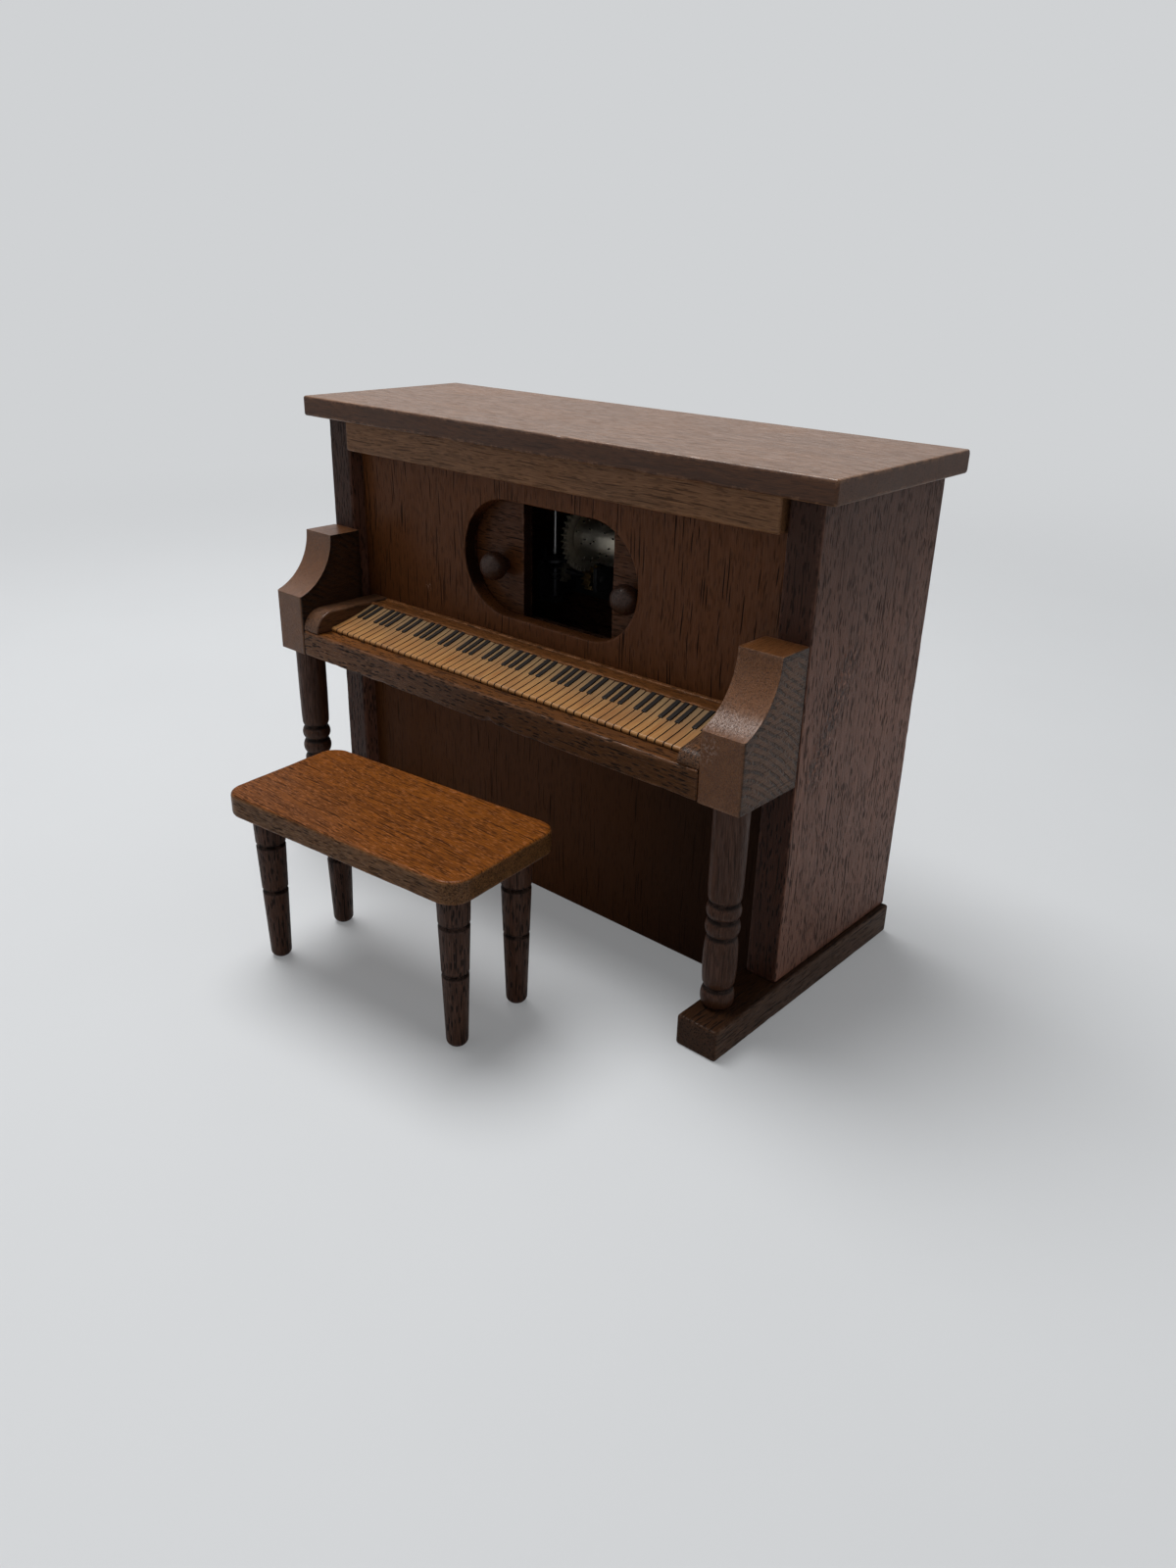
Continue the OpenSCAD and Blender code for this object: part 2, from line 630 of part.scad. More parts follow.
module winding_arbor() color(steel) at() {
    rod_y(barrel_x, cyl_z, cyl_y + 2.6, cyl_y + 3.6, 3);
    rod_y(barrel_x, cyl_z, cyl_y + 3.5, case_d + 0.3, 2);
    rod_y(barrel_x, cyl_z, cyl_y + 5.1, plate_y - 2.8, 2.6);
    rod_y(barrel_x, cyl_z, case_d, case_d + 5.8, 1.5);
}

module winding_key() color(brass) at() translate([barrel_x, case_d, cyl_z]) difference() {
    union() {
        rod_y(0, 0, 0.6, 6.6, 3);
        translate([0, 0, -0.9]) linear_extrude(1.8) difference() {
            union() {
                for (s = [-1, 1]) translate([s*4.6, key_reach - 4.4]) circle(4.4);
                translate([-2.6, 5.6]) square([5.2, key_reach - 7]);
            }
            for (s = [-1, 1]) translate([s*4.8, key_reach - 4.4]) circle(1.9);
        }
    }
    rod_y(0, 0, -1, 5.8, 1.5);
}

// Bench
module bench_at() {
    at() translate([bench_x, -bench_out, 0]) rotate([0, 0, bench_turn]) children();
}

module bench_seat() color(warm) bench_at() translate([-seat_l/2, -seat_d/2, leg_l]) intersection() {
    linear_extrude(seat_t) rrect(seat_l, seat_d, seat_r);
    along_x(0, seat_l) rrect(seat_d, seat_t, 1.1);
    along_y(0, seat_d) rrect(seat_l, seat_t, 1.1);
}

function leg_r(z) = 2.35 + 1.3*z/leg_l;

leg_rz = concat([[0, 0], [1.1, 0], [1.8, 0.3], [2.2, 0.9]],
    [for (g = [0.48*leg_l, 0.79*leg_l])
        each [[leg_r(g - 0.7), g - 0.7], [leg_r(g) - 0.45, g], [leg_r(g + 0.7), g + 0.7]]],
    [[3.65, leg_l], [0, leg_l]]);

module bench_legs() color(warm) bench_at() for (x = [-1, 1]) for (y = [-1, 1])
    translate([x*(seat_l/2 - 6.7), y*(seat_d/2 - 7), 0]) rotate_extrude() polygon(leg_rz);

left_side_panel();
right_side_panel();
left_runner();
right_runner();
upper_front_panel();
lower_front_panel();
cornice();
bottom_board();
back_panel();
left_batten();
right_batten();
back_screws();
left_arm();
right_arm();
left_column();
right_column();
key_bed();
white_keys();
black_keys();
fall_strip();
left_key_block();
right_key_block();
upper_track();
lower_track();
hinge_case_leaves();
hinge_pins();
hinge_case_screws();
bedplate();
left_bracket();
comb();
comb_screws();
movement_screws();
governor_frame();
click_spring();
top_lid();
hinge_lid_leaves();
hinge_lid_screws();
stop_pin();
left_door();
left_door_knob();
right_door();
right_door_knob();
music_cylinder();
cylinder_arbor();
great_wheel();
cylinder_pinion();
spring_barrel();
barrel_cover();
mainspring();
governor_arbor();
governor_pinion();
worm_wheel();
worm_shaft();
fan();
winding_arbor();
winding_key();
bench_seat();
bench_legs();
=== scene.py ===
"""Finishes a wooden player-piano music box and its bench, and sets them on a pale stage."""

import json
import math

import bmesh
import bpy
from bpy.props import FloatProperty, FloatVectorProperty, IntProperty, PointerProperty
from mathutils import Matrix, Vector, noise

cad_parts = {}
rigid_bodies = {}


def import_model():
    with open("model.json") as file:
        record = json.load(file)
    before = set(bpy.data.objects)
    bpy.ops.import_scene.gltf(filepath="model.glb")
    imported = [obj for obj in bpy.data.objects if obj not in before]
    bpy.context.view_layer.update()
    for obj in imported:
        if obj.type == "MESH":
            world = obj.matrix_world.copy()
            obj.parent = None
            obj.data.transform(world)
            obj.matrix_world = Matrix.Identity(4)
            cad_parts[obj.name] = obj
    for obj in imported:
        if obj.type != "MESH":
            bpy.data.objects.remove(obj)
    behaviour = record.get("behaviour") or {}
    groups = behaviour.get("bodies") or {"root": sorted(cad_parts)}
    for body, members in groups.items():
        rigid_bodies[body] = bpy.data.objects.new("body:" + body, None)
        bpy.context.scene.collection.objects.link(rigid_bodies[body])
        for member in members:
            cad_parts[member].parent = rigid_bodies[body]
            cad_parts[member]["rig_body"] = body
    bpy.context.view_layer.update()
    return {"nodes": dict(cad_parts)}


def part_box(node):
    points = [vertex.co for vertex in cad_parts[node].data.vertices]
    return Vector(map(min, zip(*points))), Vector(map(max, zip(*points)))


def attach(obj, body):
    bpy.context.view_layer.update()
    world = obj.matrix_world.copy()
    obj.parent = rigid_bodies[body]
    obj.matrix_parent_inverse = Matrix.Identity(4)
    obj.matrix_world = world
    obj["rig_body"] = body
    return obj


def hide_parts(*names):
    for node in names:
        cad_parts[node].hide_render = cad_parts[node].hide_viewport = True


bl_info = {
    "name": "Piano Music Box",
    "version": (1, 0, 0),
    "blender": (4, 5, 0),
    "location": "View3D > Sidebar > Music Box",
    "description": "Finishes a wooden player-piano music box and its bench",
    "category": "Object",
}

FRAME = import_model()
NODES = FRAME["nodes"]
MM = 0.001
X, Y, Z = 0, 1, 2

# Places in the frame, in millimetres
FRONT_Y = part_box("right_side_panel")[0][Y]/MM
SIDE_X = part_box("right_side_panel")[1][X]/MM
COLUMN_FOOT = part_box("left_column")[0][Z]/MM

# Sizes in millimetres, angles in degrees, grooves as shares of the leg's height
BOARD_EDGE, LEAF_EDGE, CAST_EDGE, HINGE_EDGE, GEAR_EDGE = 0.6, 0.25, 0.2, 0.12, 0.06
SMOOTH_ANGLE = 38
COLUMN_RINGS, RING_HALF = (5, 17.8, 22, 25.9), 0.1
KNOB_TENON, KNOB_NECK, KNOB_HALF = 1.2, 1.9, 3.35
CYLINDER_R = 6.5
SEAT_L, SEAT_D, SEAT_R, SEAT_EDGE = 70, 34, 5, 0.8
BENCH_TURN = 5.4
LEG_X, LEG_Y = 28.3, 10
LEG_TIP, LEG_TIP_R, LEG_FOOT_R, LEG_TOP_R = 1.8, 2.42, 2.35, 3.65
LEG_GROOVES = (0.48, 0.79)
KEY_AHEAD, KEY_NOSE, KEY_RUN, KEY_RISE, KEY_SLOPE = 1.2, 0.6, 13.2, 3.5, 0.18
BLACK_RUN, BLACK_HALF, BLACK_THICK = 6.7, 0.6, 0.3

# Dark and warm tone of a stain, as shares of its red, green and blue
DARK_SHARES = (0.55, 0.53, 0.5)
WARM_SHARES = (1.38, 1.36, 1.3)


# Node building
class Wire:
    """A node socket that adds Math nodes when it is used in arithmetic."""

    def __init__(self, tree, socket):
        self.tree = tree
        self.socket = socket

    def _math(self, operation, *values):
        return self.tree.node("ShaderNodeMath", {"operation": operation}, dict(enumerate(values)))

    def __add__(self, other):
        return self._math("ADD", self, other)

    __radd__ = __add__

    def __sub__(self, other):
        return self._math("SUBTRACT", self, other)

    def __rsub__(self, other):
        return self._math("SUBTRACT", other, self)

    def __mul__(self, other):
        return self._math("MULTIPLY", self, other)

    __rmul__ = __mul__

    def __mod__(self, other):
        return self._math("MODULO", self, other)

    def is_near(self, value):
        return self._math("COMPARE", self, value, 0.1)

    def most(self, other):
        return self._math("MAXIMUM", self, other)

    def size(self):
        return self._math("ABSOLUTE", self)

    def over(self, low, high):
        """0 at low, 1 at high, with soft ends."""
        settings = {"interpolation_type": "SMOOTHSTEP"}
        return self.tree.node("ShaderNodeMapRange", settings, {0: self, 1: low, 2: high})


class Tree:
    """A node tree that is built from expressions."""

    def node(self, kind, settings=None, values=None, out=0):
        made = self.nodes.nodes.new(kind)
        for key, value in (settings or {}).items():
            setattr(made, key, value)
        for key, value in (values or {}).items():
            self.feed(made.inputs[key], value)
        return Wire(self, made.outputs[out])

    def feed(self, socket, value):
        if isinstance(value, Wire):
            self.nodes.links.new(value.socket, socket)
        elif socket.type == "RGBA" and len(value) == 3:
            socket.default_value = (*value, 1)
        else:
            socket.default_value = value


class Shade(Tree):
    """One node material on object coordinates, with its patterns shifted by its own shift."""

    shift = (0, 0, 0)

    def __init__(self, name):
        self.material = bpy.data.materials.new(name)
        self.material.use_nodes = True
        self.nodes = self.material.node_tree
        self.surface = self.nodes.nodes["Principled BSDF"]
        self.place = self.node("ShaderNodeTexCoord", out="Object")

    def mix(self, factor, a, b, blend="MIX"):
        settings = {"data_type": "RGBA", "blend_type": blend}
        return self.node("ShaderNodeMix", settings, {0: factor, 6: a, 7: b}, out=2)

    def stretched(self, sizes, offset=(0, 0, 0), place=None):
        """Coordinates in units of the given sizes, in millimetres along X, Y and Z."""
        scale = [1000/size for size in sizes]
        values = {"Vector": place or self.place, "Scale": scale, "Location": offset}
        return self.node("ShaderNodeMapping", None, values)

    def wandering(self, size, reach):
        """Object coordinates that wander by the reach over the size, both in millimetres."""
        values = {"Vector": self.stretched((size,)*3), "Scale": 1}
        drift = self.node("ShaderNodeTexNoise", None, values, out="Color")
        values = {0: drift, 1: (reach*MM,)*3, 2: self.place}
        return self.node("ShaderNodeVectorMath", {"operation": "MULTIPLY_ADD"}, values)

    def noise(self, vector, detail=3, roughness=0.55, distortion=0):
        values = {"Vector": vector, "Scale": 1, "Detail": detail, "Roughness": roughness,
                  "Distortion": distortion}
        return self.node("ShaderNodeTexNoise", None, values)

    def speckle(self, size, *grade):
        """Noise of one size all ways, in millimetres."""
        return self.noise(self.stretched((size,)*3, self.shift), *grade)

    def cells(self, vector):
        return self.node("ShaderNodeTexVoronoi", None, {"Vector": vector, "Scale": 1})

    def along(self, axis, vector=None):
        """One part of a vector, or of the place on the object in metres."""
        return self.node("ShaderNodeSeparateXYZ", None, {0: vector or self.place}, out=axis)

    def length(self, vector):
        return self.node("ShaderNodeVectorMath", {"operation": "LENGTH"}, {0: vector}, out="Value")

    def normal(self):
        return self.node("ShaderNodeNewGeometry", out="Normal")

    def near(self, centre, size):
        """1 at a place in the frame, in millimetres, 0 from size on."""
        vector = self.stretched((size,)*3, [-c/size for c in centre])
        return 1 - self.length(vector).over(0.2, 1)

    def facing(self, axis):
        """1 on faces that look along the axis, either way."""
        return self.along(axis, self.normal()).size().over(0.5, 0.9)

    def edges(self, radius):
        """1 on outside edges within the radius in millimetres, 0 on flat faces."""
        rounded = self.node("ShaderNodeBevel", {"samples": 4}, {"Radius": radius*MM})
        values = {0: rounded, 1: self.normal()}
        dot = self.node("ShaderNodeVectorMath", {"operation": "DOT_PRODUCT"}, values, out="Value")
        return (1 - dot).over(0.02, 0.25)

    def finish(self, bump=None, depth=0.1, **inputs):
        for key, value in inputs.items():
            self.feed(self.surface.inputs[key.replace("_", " ")], value)
        if bump is not None:
            values = {"Strength": 1, "Distance": depth*MM, "Height": bump}
            self.feed(self.surface.inputs["Normal"], self.node("ShaderNodeBump", None, values))
        return self.material


class Growth(Tree):
    """One Geometry Nodes tree whose inputs are set by name."""

    def __init__(self, name):
        self.nodes = bpy.data.node_groups.new(name, "GeometryNodeTree")
        self.sockets = {}
        self.start = self.nodes.nodes.new("NodeGroupInput")
        self.seed_mesh = self.input("Piece", "Geometry")
        self.nodes.interface.new_socket("Result", in_out="OUTPUT", socket_type="NodeSocketGeometry")

    def input(self, name, kind):
        kind = "NodeSocket" + kind
        socket = self.nodes.interface.new_socket(name, in_out="INPUT", socket_type=kind)
        self.sockets[name] = socket.identifier
        return Wire(self, self.start.outputs[name])

    def end(self, instances, material):
        """Makes the instances real and paints them."""
        real = self.node("GeometryNodeRealizeInstances", None, {"Geometry": instances})
        painted = self.node("GeometryNodeSetMaterial", None, {"Geometry": real, "Material": material})
        self.feed(self.nodes.nodes.new("NodeGroupOutput").inputs[0], painted)

    def grow(self, mesh, **values):
        """A plain mesh that the tree makes of the given one."""
        work = linked(mesh.name, mesh)
        maker = work.modifiers.new("grow", "NODES")
        maker.node_group = self.nodes
        for name, value in values.items():
            maker[self.sockets[name]] = value
        return evaluated_mesh(work)


# Colours
def linear(colour):
    """A screen colour in 0 to 255 as linear light."""
    return tuple(((c/255 + 0.055)/1.055)**2.4 if c > 10 else c/255/12.92 for c in colour)


def scaled(colour, share):
    return tuple(share*c for c in colour)


# Finishes
def grain_sizes(grain, across, length):
    sizes = [across, across, across]
    sizes[grain] = length
    return sizes


class Wood(Shade):
    """Open-pored wood under a stain, with its grain along one axis and a sheen on the grain's ridges.

    pore and short are the strength of long and short pores, figure that of the grain's tones, coat that of
    the sheen. The methods add wear, marks and painted light and shade to the tone, sheen and height; places
    are in millimetres.
    """

    def __init__(self, name, grain, colour, seed, pore, short, figure, coat):
        super().__init__(name)
        self.grain = grain
        self.colour = tuple(colour)
        self.shift = (seed*3.7, seed*1.9, seed*2.3)
        self.wander = self.wandering(30, 2.2)
        bands = self.noise(self.grained(2.2, 80), 4, 0.6, 0.3)
        fibres = self.noise(self.grained(0.22, 5), 3, 0.62)
        self.clouds = self.speckle(24)
        grit = self.speckle(0.2, 2)
        self.scuffs = self.speckle(2.2, 4, 0.7)
        dashes = self.cells(self.grained(0.62, 26))
        flecks = self.cells(self.grained(0.6, 3.4))
        dash = (1 - dashes.over(0.17, 0.26))*bands.over(0.34, 0.44)
        fleck = (1 - flecks.over(0.22, 0.36))*short
        self.pit = dash.most(fleck)*pore
        dark = [c*share for c, share in zip(self.colour, DARK_SHARES)]
        warm = [c*share for c, share in zip(self.colour, WARM_SHARES)]
        self.tone = self.mix((1 - bands.over(0.28, 0.7))*figure, self.colour, dark)
        self.tint(self.clouds.over(0.45, 0.75)*0.5*figure, warm)
        self.tint(fibres.over(0.5, 0.66)*figure, warm)
        self.tint(fibres.over(0.5, 0.36)*figure, dark)
        self.tint(self.pit*0.97, scaled(self.colour, 0.05))
        self.height = 0.5*fibres - self.pit + 0.3*bands + 0.25*grit
        ridges = 0.25 + 0.75*fibres.over(0.42, 0.58)
        sparkle = 0.35 + 0.65*grit.over(0.42, 0.58)
        self.sheen = ridges*sparkle*(1 - self.pit)*coat

    def grained(self, across, length, further=0):
        """Wandering coordinates in units of a size across the grain and one along it."""
        shift = [c + further for c in self.shift]
        return self.stretched(grain_sizes(self.grain, across, length), shift, self.wander)

    def tint(self, factor, colour):
        self.tone = self.mix(factor, self.tone, colour)

    def rub_and_light_edges(self, edge_wear_and_light):
        """Strength of the pale edges, which show_pale_edges then shows: wear, and painted highlights on
        them.
        """
        self.pale_rim = self.edges(1.5)*self.scuffs.over(0.46, 0.6)*edge_wear_and_light

    def show_pale_edges(self):
        # Pale edges: worn wood, and painted highlights on it
        self.tint(self.pale_rim, [min(1, 2.2*c + 0.05) for c in self.colour])

    def paint_face_light(self, axes, factor, on, off, edge_dark):
        """Gives faces that don't look along the axes their own tone by a factor: painted shade where it is
        under 1, painted light where it is over 1.

        on and off are the shares of the sheen on faces that look along the axes and on those that don't;
        edge_dark darkens the edges of the former. The result is 1 on faces that look along the axes.
        """
        looks = self.facing(axes[0])
        for axis in axes[1:]:
            looks = looks.most(self.facing(axis))
        self.tint(1 - looks, self.mix(1.0, self.tone, factor, "MULTIPLY"))
        self.sheen = self.sheen*(off + (on - off)*looks)
        if edge_dark:
            # Darker edges on the faces that look along the axes
            edge_darkening = self.edges(4.5)*looks*edge_dark
            self.tint(edge_darkening, scaled(self.colour, 0.04))
            self.sheen = self.sheen*(1 - edge_darkening)
            self.pale_rim = self.pale_rim*(1 - looks)
        return looks

    def add_painted_glint(self, share):
        """Painted glints: pale flecks along the grain."""
        pale = self.cells(self.grained(0.32, 2.6, 50))
        self.tint((1 - pale.over(0.15, 0.33))*share, [2.2*c + 0.04 for c in self.colour])

    def add_shade_ramp(self, axis, start, stop, share):
        """Painted shade that comes in along an axis, from start to stop."""
        painted_shade = self.along(axis).over(start*MM, stop*MM)*share
        self.tint(painted_shade, scaled(self.colour, 0.15))
        self.sheen = self.sheen*(1 - painted_shade)

    def add_saw_marks(self, centre):
        """Curved saw marks about a centre, on faces that look to the right."""
        settings = {"wave_type": "RINGS", "rings_direction": "X"}
        values = {"Vector": self.stretched((1, 1, 1), [-c for c in centre]), "Scale": 0.19,
                  "Distortion": 3.5, "Detail": 4, "Detail Scale": 0.5}
        saw = self.node("ShaderNodeTexWave", settings, values, out="Fac")
        outer = self.along(X, self.normal()).over(0.7, 0.95)
        saw = saw.over(0.45, 0.85)*outer*self.clouds.over(0.3, 0.5)*self.scuffs.over(0.35, 0.6)
        self.tint(saw*0.85, scaled(self.colour, 0.2))
        self.height = self.height - 0.8*saw

    def burn_ring(self, level):
        """Burnt groove round a turned piece at a height."""
        burn = 1 - (self.along(Z) - level*MM).size().over(0.25*MM, 0.95*MM)
        self.tint(burn*0.92, scaled(self.colour, 0.08))
        self.sheen = self.sheen*(1 - burn)

    def knock(self, centre, size):
        """Pale chips in the stain about a place."""
        chips = self.speckle(0.9, 4, 0.75).over(0.5, 0.6)
        self.tint(self.near(centre, size)*chips*0.6, [1.6*c + 0.09 for c in self.colour])

    def tear(self, centre, size):
        """Lifted fibres about a place, paler with darker hollows: torn wood, and painted light and shade of
        the relief.
        """
        splinters = self.noise(self.stretched(grain_sizes(self.grain, 0.9, 1.5), self.shift), 3, 0.6)
        patch = self.near(centre, size)*splinters.over(0.52, 0.6)
        shaded_hollow = self.near(centre, size)*splinters.over(0.46, 0.38)
        # Paler raised fibres and darker hollows, in part painted light and shade
        self.tint(patch*0.7, scaled(self.colour, 1.9))
        self.tint(shaded_hollow*0.85, scaled(self.colour, 0.2))
        self.height = self.height + 3*patch - 2*shaded_hollow


def stained_wood(name, grain, colour, seed, pore=0.8, short=0.6, figure=0.7, rough=0.5, shine=0.2, coat=0.3,
                 relief=0.1, edge_wear_and_light=0.5, edge_dark=0.0, painted_glint=0.0, face_light=None, shade_ramp=None, rings=(), spots=(),
                 torn=(), sawn=None):
    """A wood's material.

    face_light and shade_ramp are what paint_face_light and add_shade_ramp take, rings are heights of grooves
    with burn lines, spots and torn are places and sizes of knocks and lifted fibres, and sawn is the centre
    of saw marks.
    """
    wood = Wood(name, grain, colour, seed, pore, short, figure, coat)
    wood.rub_and_light_edges(edge_wear_and_light)
    share = painted_glint
    # Painted light and shade by the direction the faces look
    if face_light:
        looks = wood.paint_face_light(*face_light, edge_dark)
        share = (0.3 + 0.7*looks)*painted_glint
    # Painted glints, fainter on faces that don't look along the axes of face_light
    if painted_glint:
        wood.add_painted_glint(share)
    # Painted shade that comes in along an axis
    if shade_ramp:
        wood.add_shade_ramp(*shade_ramp)
    if sawn:
        wood.add_saw_marks(sawn)
    for level in rings:
        wood.burn_ring(level)
    # Pale edges: wear, and painted highlights on them
    wood.show_pale_edges()
    for centre, size in spots:
        wood.knock(centre, size)
    for centre, size in torn:
        wood.tear(centre, size)
    gloss = rough + 0.16*wood.clouds + 0.2*wood.pit + 0.08*wood.scuffs
    return wood.finish(bump=wood.height, depth=relief, Base_Color=wood.tone, Roughness=gloss,
                       Specular_IOR_Level=shine, Coat_Weight=wood.sheen, Coat_Roughness=0.25)


def aged_key(name, pale, tan, start, pitch, front):
    """Yellowed lacquer with grain along each key, painted shade in the gaps and a dusty back.

    start and front are where the row begins, along X and Y; in millimetres, as the pitch is.
    """
    shade = Shade(name)
    streak = shade.noise(shade.stretched((0.5, 12, 2)), 3, 0.6)
    patch = shade.noise(shade.stretched((7, 9, 9)), 3)
    pick = shade.cells(shade.stretched((pitch, 400, 400)))
    across = (shade.along(X) - start*MM)*(1/(pitch*MM))
    middle = (across + 0.5) % 1 - 0.5
    # Painted shade in the gaps between keys
    gap_shade = 1 - middle.size().over(0.06, 0.1)
    dusty = shade.along(Y).over((front + 3)*MM, (front + KEY_RUN)*MM)*0.55
    colour = shade.mix(streak.over(0.3, 0.75), tan, pale)
    colour = shade.mix(patch.over(0.35, 0.75)*0.6, colour, scaled(tan, 0.7))
    colour = shade.mix(pick.over(0.1, 0.9)*0.3, colour, pale)
    colour = shade.mix(dusty, colour, (0.23, 0.185, 0.11))
    colour = shade.mix(gap_shade, colour, scaled(tan, 0.03))
    return shade.finish(bump=streak, depth=0.03, Base_Color=colour, Roughness=0.36 + 0.15*patch,
                        Specular_IOR_Level=0.25, Coat_Weight=0.25*(1 - gap_shade)*patch.over(0.4, 0.6),
                        Coat_Roughness=0.3)


def black_paint(name, colour):
    """Thin black lacquer with brush marks and rubbed edges."""
    shade = Shade(name)
    brush = shade.noise(shade.stretched((0.25, 7, 0.6)), 3, 0.6)
    rubbed = shade.edges(0.12)*shade.speckle(1.5).over(0.5, 0.7)*0.4
    tone = shade.mix(brush.over(0.4, 0.8)*0.5, colour, scaled(colour, 2.6))
    tone = shade.mix(rubbed, tone, (0.16, 0.1, 0.05))
    return shade.finish(bump=brush, depth=0.02, Base_Color=tone, Roughness=0.4 + 0.2*brush,
                        Specular_IOR_Level=0.2)


def worked_metal(name, colour, dull, rough, sizes, pins=None):
    """Metal with fine tool lines of the given sizes and dull patches.

    pins is (y, z, radius) of a drum along X, in millimetres: what stands out of it is dark.
    """
    shade = Shade(name)
    lines = shade.noise(shade.stretched(sizes), 4, 0.65)
    tarnish = shade.speckle(5, 4, 0.6)
    tone = shade.mix(tarnish.over(0.45, 0.75)*0.7, colour, dull)
    if pins:
        y, z, radius = pins
        endless = 1e6
        reach = shade.length(shade.stretched((endless, radius, radius), (0, -y/radius, -z/radius)))
        tone = shade.mix(reach.over(1.004, 1.012), tone, scaled(colour, 0.05))
    gloss = rough + 0.25*tarnish.over(0.4, 0.8) + 0.12*lines
    return shade.finish(bump=lines, depth=0.02, Base_Color=tone, Roughness=gloss, Metallic=0.97)


def cast_metal(name, colour):
    """Dull die casting with a fine sandy skin."""
    shade = Shade(name)
    sand = shade.speckle(0.35, 3, 0.7)
    stain = shade.speckle(9)
    tone = shade.mix(stain.over(0.35, 0.75), colour, scaled(colour, 0.6))
    return shade.finish(bump=sand, depth=0.05, Base_Color=tone, Roughness=0.5 + 0.2*sand, Metallic=0.85)


def moulded_nylon(name, colour):
    """Yellowed moulded wheel with flow marks and a dusty face."""
    shade = Shade(name)
    flow = shade.speckle(3, 4, 0.6, 0.8)
    dust = shade.speckle(0.5)
    tone = shade.mix(flow.over(0.35, 0.75), colour, scaled(colour, 0.72))
    tone = shade.mix(dust.over(0.55, 0.8)*0.35, tone, (0.3, 0.27, 0.22))
    return shade.finish(bump=dust, depth=0.02, Base_Color=tone, Roughness=0.45 + 0.2*dust)


def pale_ground(name, colour):
    """Matte pale sheet that takes shadows near the object and shows as plain paper far from it."""
    shade = Shade(name)
    smudge = shade.speckle(90)
    tone = shade.mix(smudge.over(0.35, 0.75)*0.35, colour, scaled(colour, 0.95))
    shade.finish(Base_Color=tone, Roughness=0.6, Specular_IOR_Level=0.25)
    paper = shade.node("ShaderNodeEmission", None, {"Color": colour})
    # A quarter of the floor's colour glows for these rays near the object too, a painted light that lightens
    # its shadows there
    factor = seen_rays(shade)*(0.25 + 0.75*shade.length(shade.place).over(0.25, 0.7))
    values = {0: factor, 1: Wire(shade, shade.surface.outputs[0]), 2: paper}
    both = shade.node("ShaderNodeMixShader", None, values)
    shade.feed(shade.nodes.nodes["Material Output"].inputs["Surface"], both)
    return shade.material


def seen_rays(tree):
    """1 for camera rays, reflections and rays through glass, 0 for rays that light the object."""
    kinds = ("Is Camera Ray", "Is Glossy Ray", "Is Transmission Ray")
    camera, glossy, through = [tree.node("ShaderNodeLightPath", out=kind) for kind in kinds]
    return camera.most(glossy).most(through)


# Pieces in the scene
def linked(name, data):
    made = bpy.data.objects.new(name, data)
    bpy.context.scene.collection.objects.link(made)
    return made


def add_piece(node, name, mesh):
    """Links a finished mesh as the piece that stands for a node."""
    piece = linked(name, mesh)
    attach(piece, NODES[node]["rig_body"])
    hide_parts(node)


def paint(material, *nodes):
    for node in nodes:
        NODES[node].data.materials.clear()
        NODES[node].data.materials.append(material)


# Mesh building
def evaluated_mesh(work):
    """The plain mesh of an object with its modifiers applied; the object is then removed."""
    bpy.context.view_layer.update()
    graph = bpy.context.evaluated_depsgraph_get()
    mesh = bpy.data.meshes.new_from_object(work.evaluated_get(graph))
    bpy.data.objects.remove(work)
    return mesh


def mesh_of(build, name):
    mesh = bpy.data.meshes.new(name)
    build.to_mesh(mesh)
    build.free()
    return mesh


def smooth_faces(mesh, angle=SMOOTH_ANGLE):
    for polygon in mesh.polygons:
        polygon.use_smooth = True
    mesh.set_sharp_from_angle(angle=math.radians(angle))


def settled(mesh, material, bevel=0.0, angle=SMOOTH_ANGLE):
    """The mesh with its sharp edges bevelled, in millimetres, and flat faces that shade flat."""
    smooth_faces(mesh, angle)
    work = linked(mesh.name, mesh)
    if bevel:
        ease = work.modifiers.new("ease", "BEVEL")
        ease.width = bevel*MM
        ease.segments = 3
        ease.limit_method = "ANGLE"
        ease.angle_limit = math.radians(angle)
    weigh = work.modifiers.new("weigh", "WEIGHTED_NORMAL")
    weigh.keep_sharp = True
    done = evaluated_mesh(work)
    done.materials.clear()
    done.materials.append(material)
    return done


def eased(node, name, material, radius):
    """Adds a copy of a node's solid with its sharp edges eased by the radius, in millimetres."""
    mesh = NODES[node].data.copy()
    mesh.name = name
    build = bmesh.new()
    build.from_mesh(mesh)
    bmesh.ops.remove_doubles(build, verts=build.verts, dist=1e-6)
    bmesh.ops.dissolve_limit(build, angle_limit=math.radians(0.6), verts=build.verts, edges=build.edges)
    build.to_mesh(mesh)
    build.free()
    add_piece(node, name, settled(mesh, material, radius))


def add_built(node, name, build, material, angle=SMOOTH_ANGLE):
    """Adds a bmesh as a node's piece, with its doubles merged and its faces turned outward."""
    bmesh.ops.remove_doubles(build, verts=build.verts, dist=1e-7)
    bmesh.ops.recalc_face_normals(build, faces=build.faces)
    add_piece(node, name, settled(mesh_of(build, name), material, 0, angle))


def quarter(steps):
    """Angles of a quarter turn in even steps."""
    return [math.pi/2*k/steps for k in range(steps + 1)]


def bridge(build, rings):
    """Closes the walls between rings of vertices, and the first and last ring."""
    for near, far in zip(rings, rings[1:]):
        for k in range(len(near)):
            j = (k + 1) % len(near)
            build.faces.new((near[k], near[j], far[j], far[k]))
    build.faces.new(rings[0])
    build.faces.new(rings[-1])


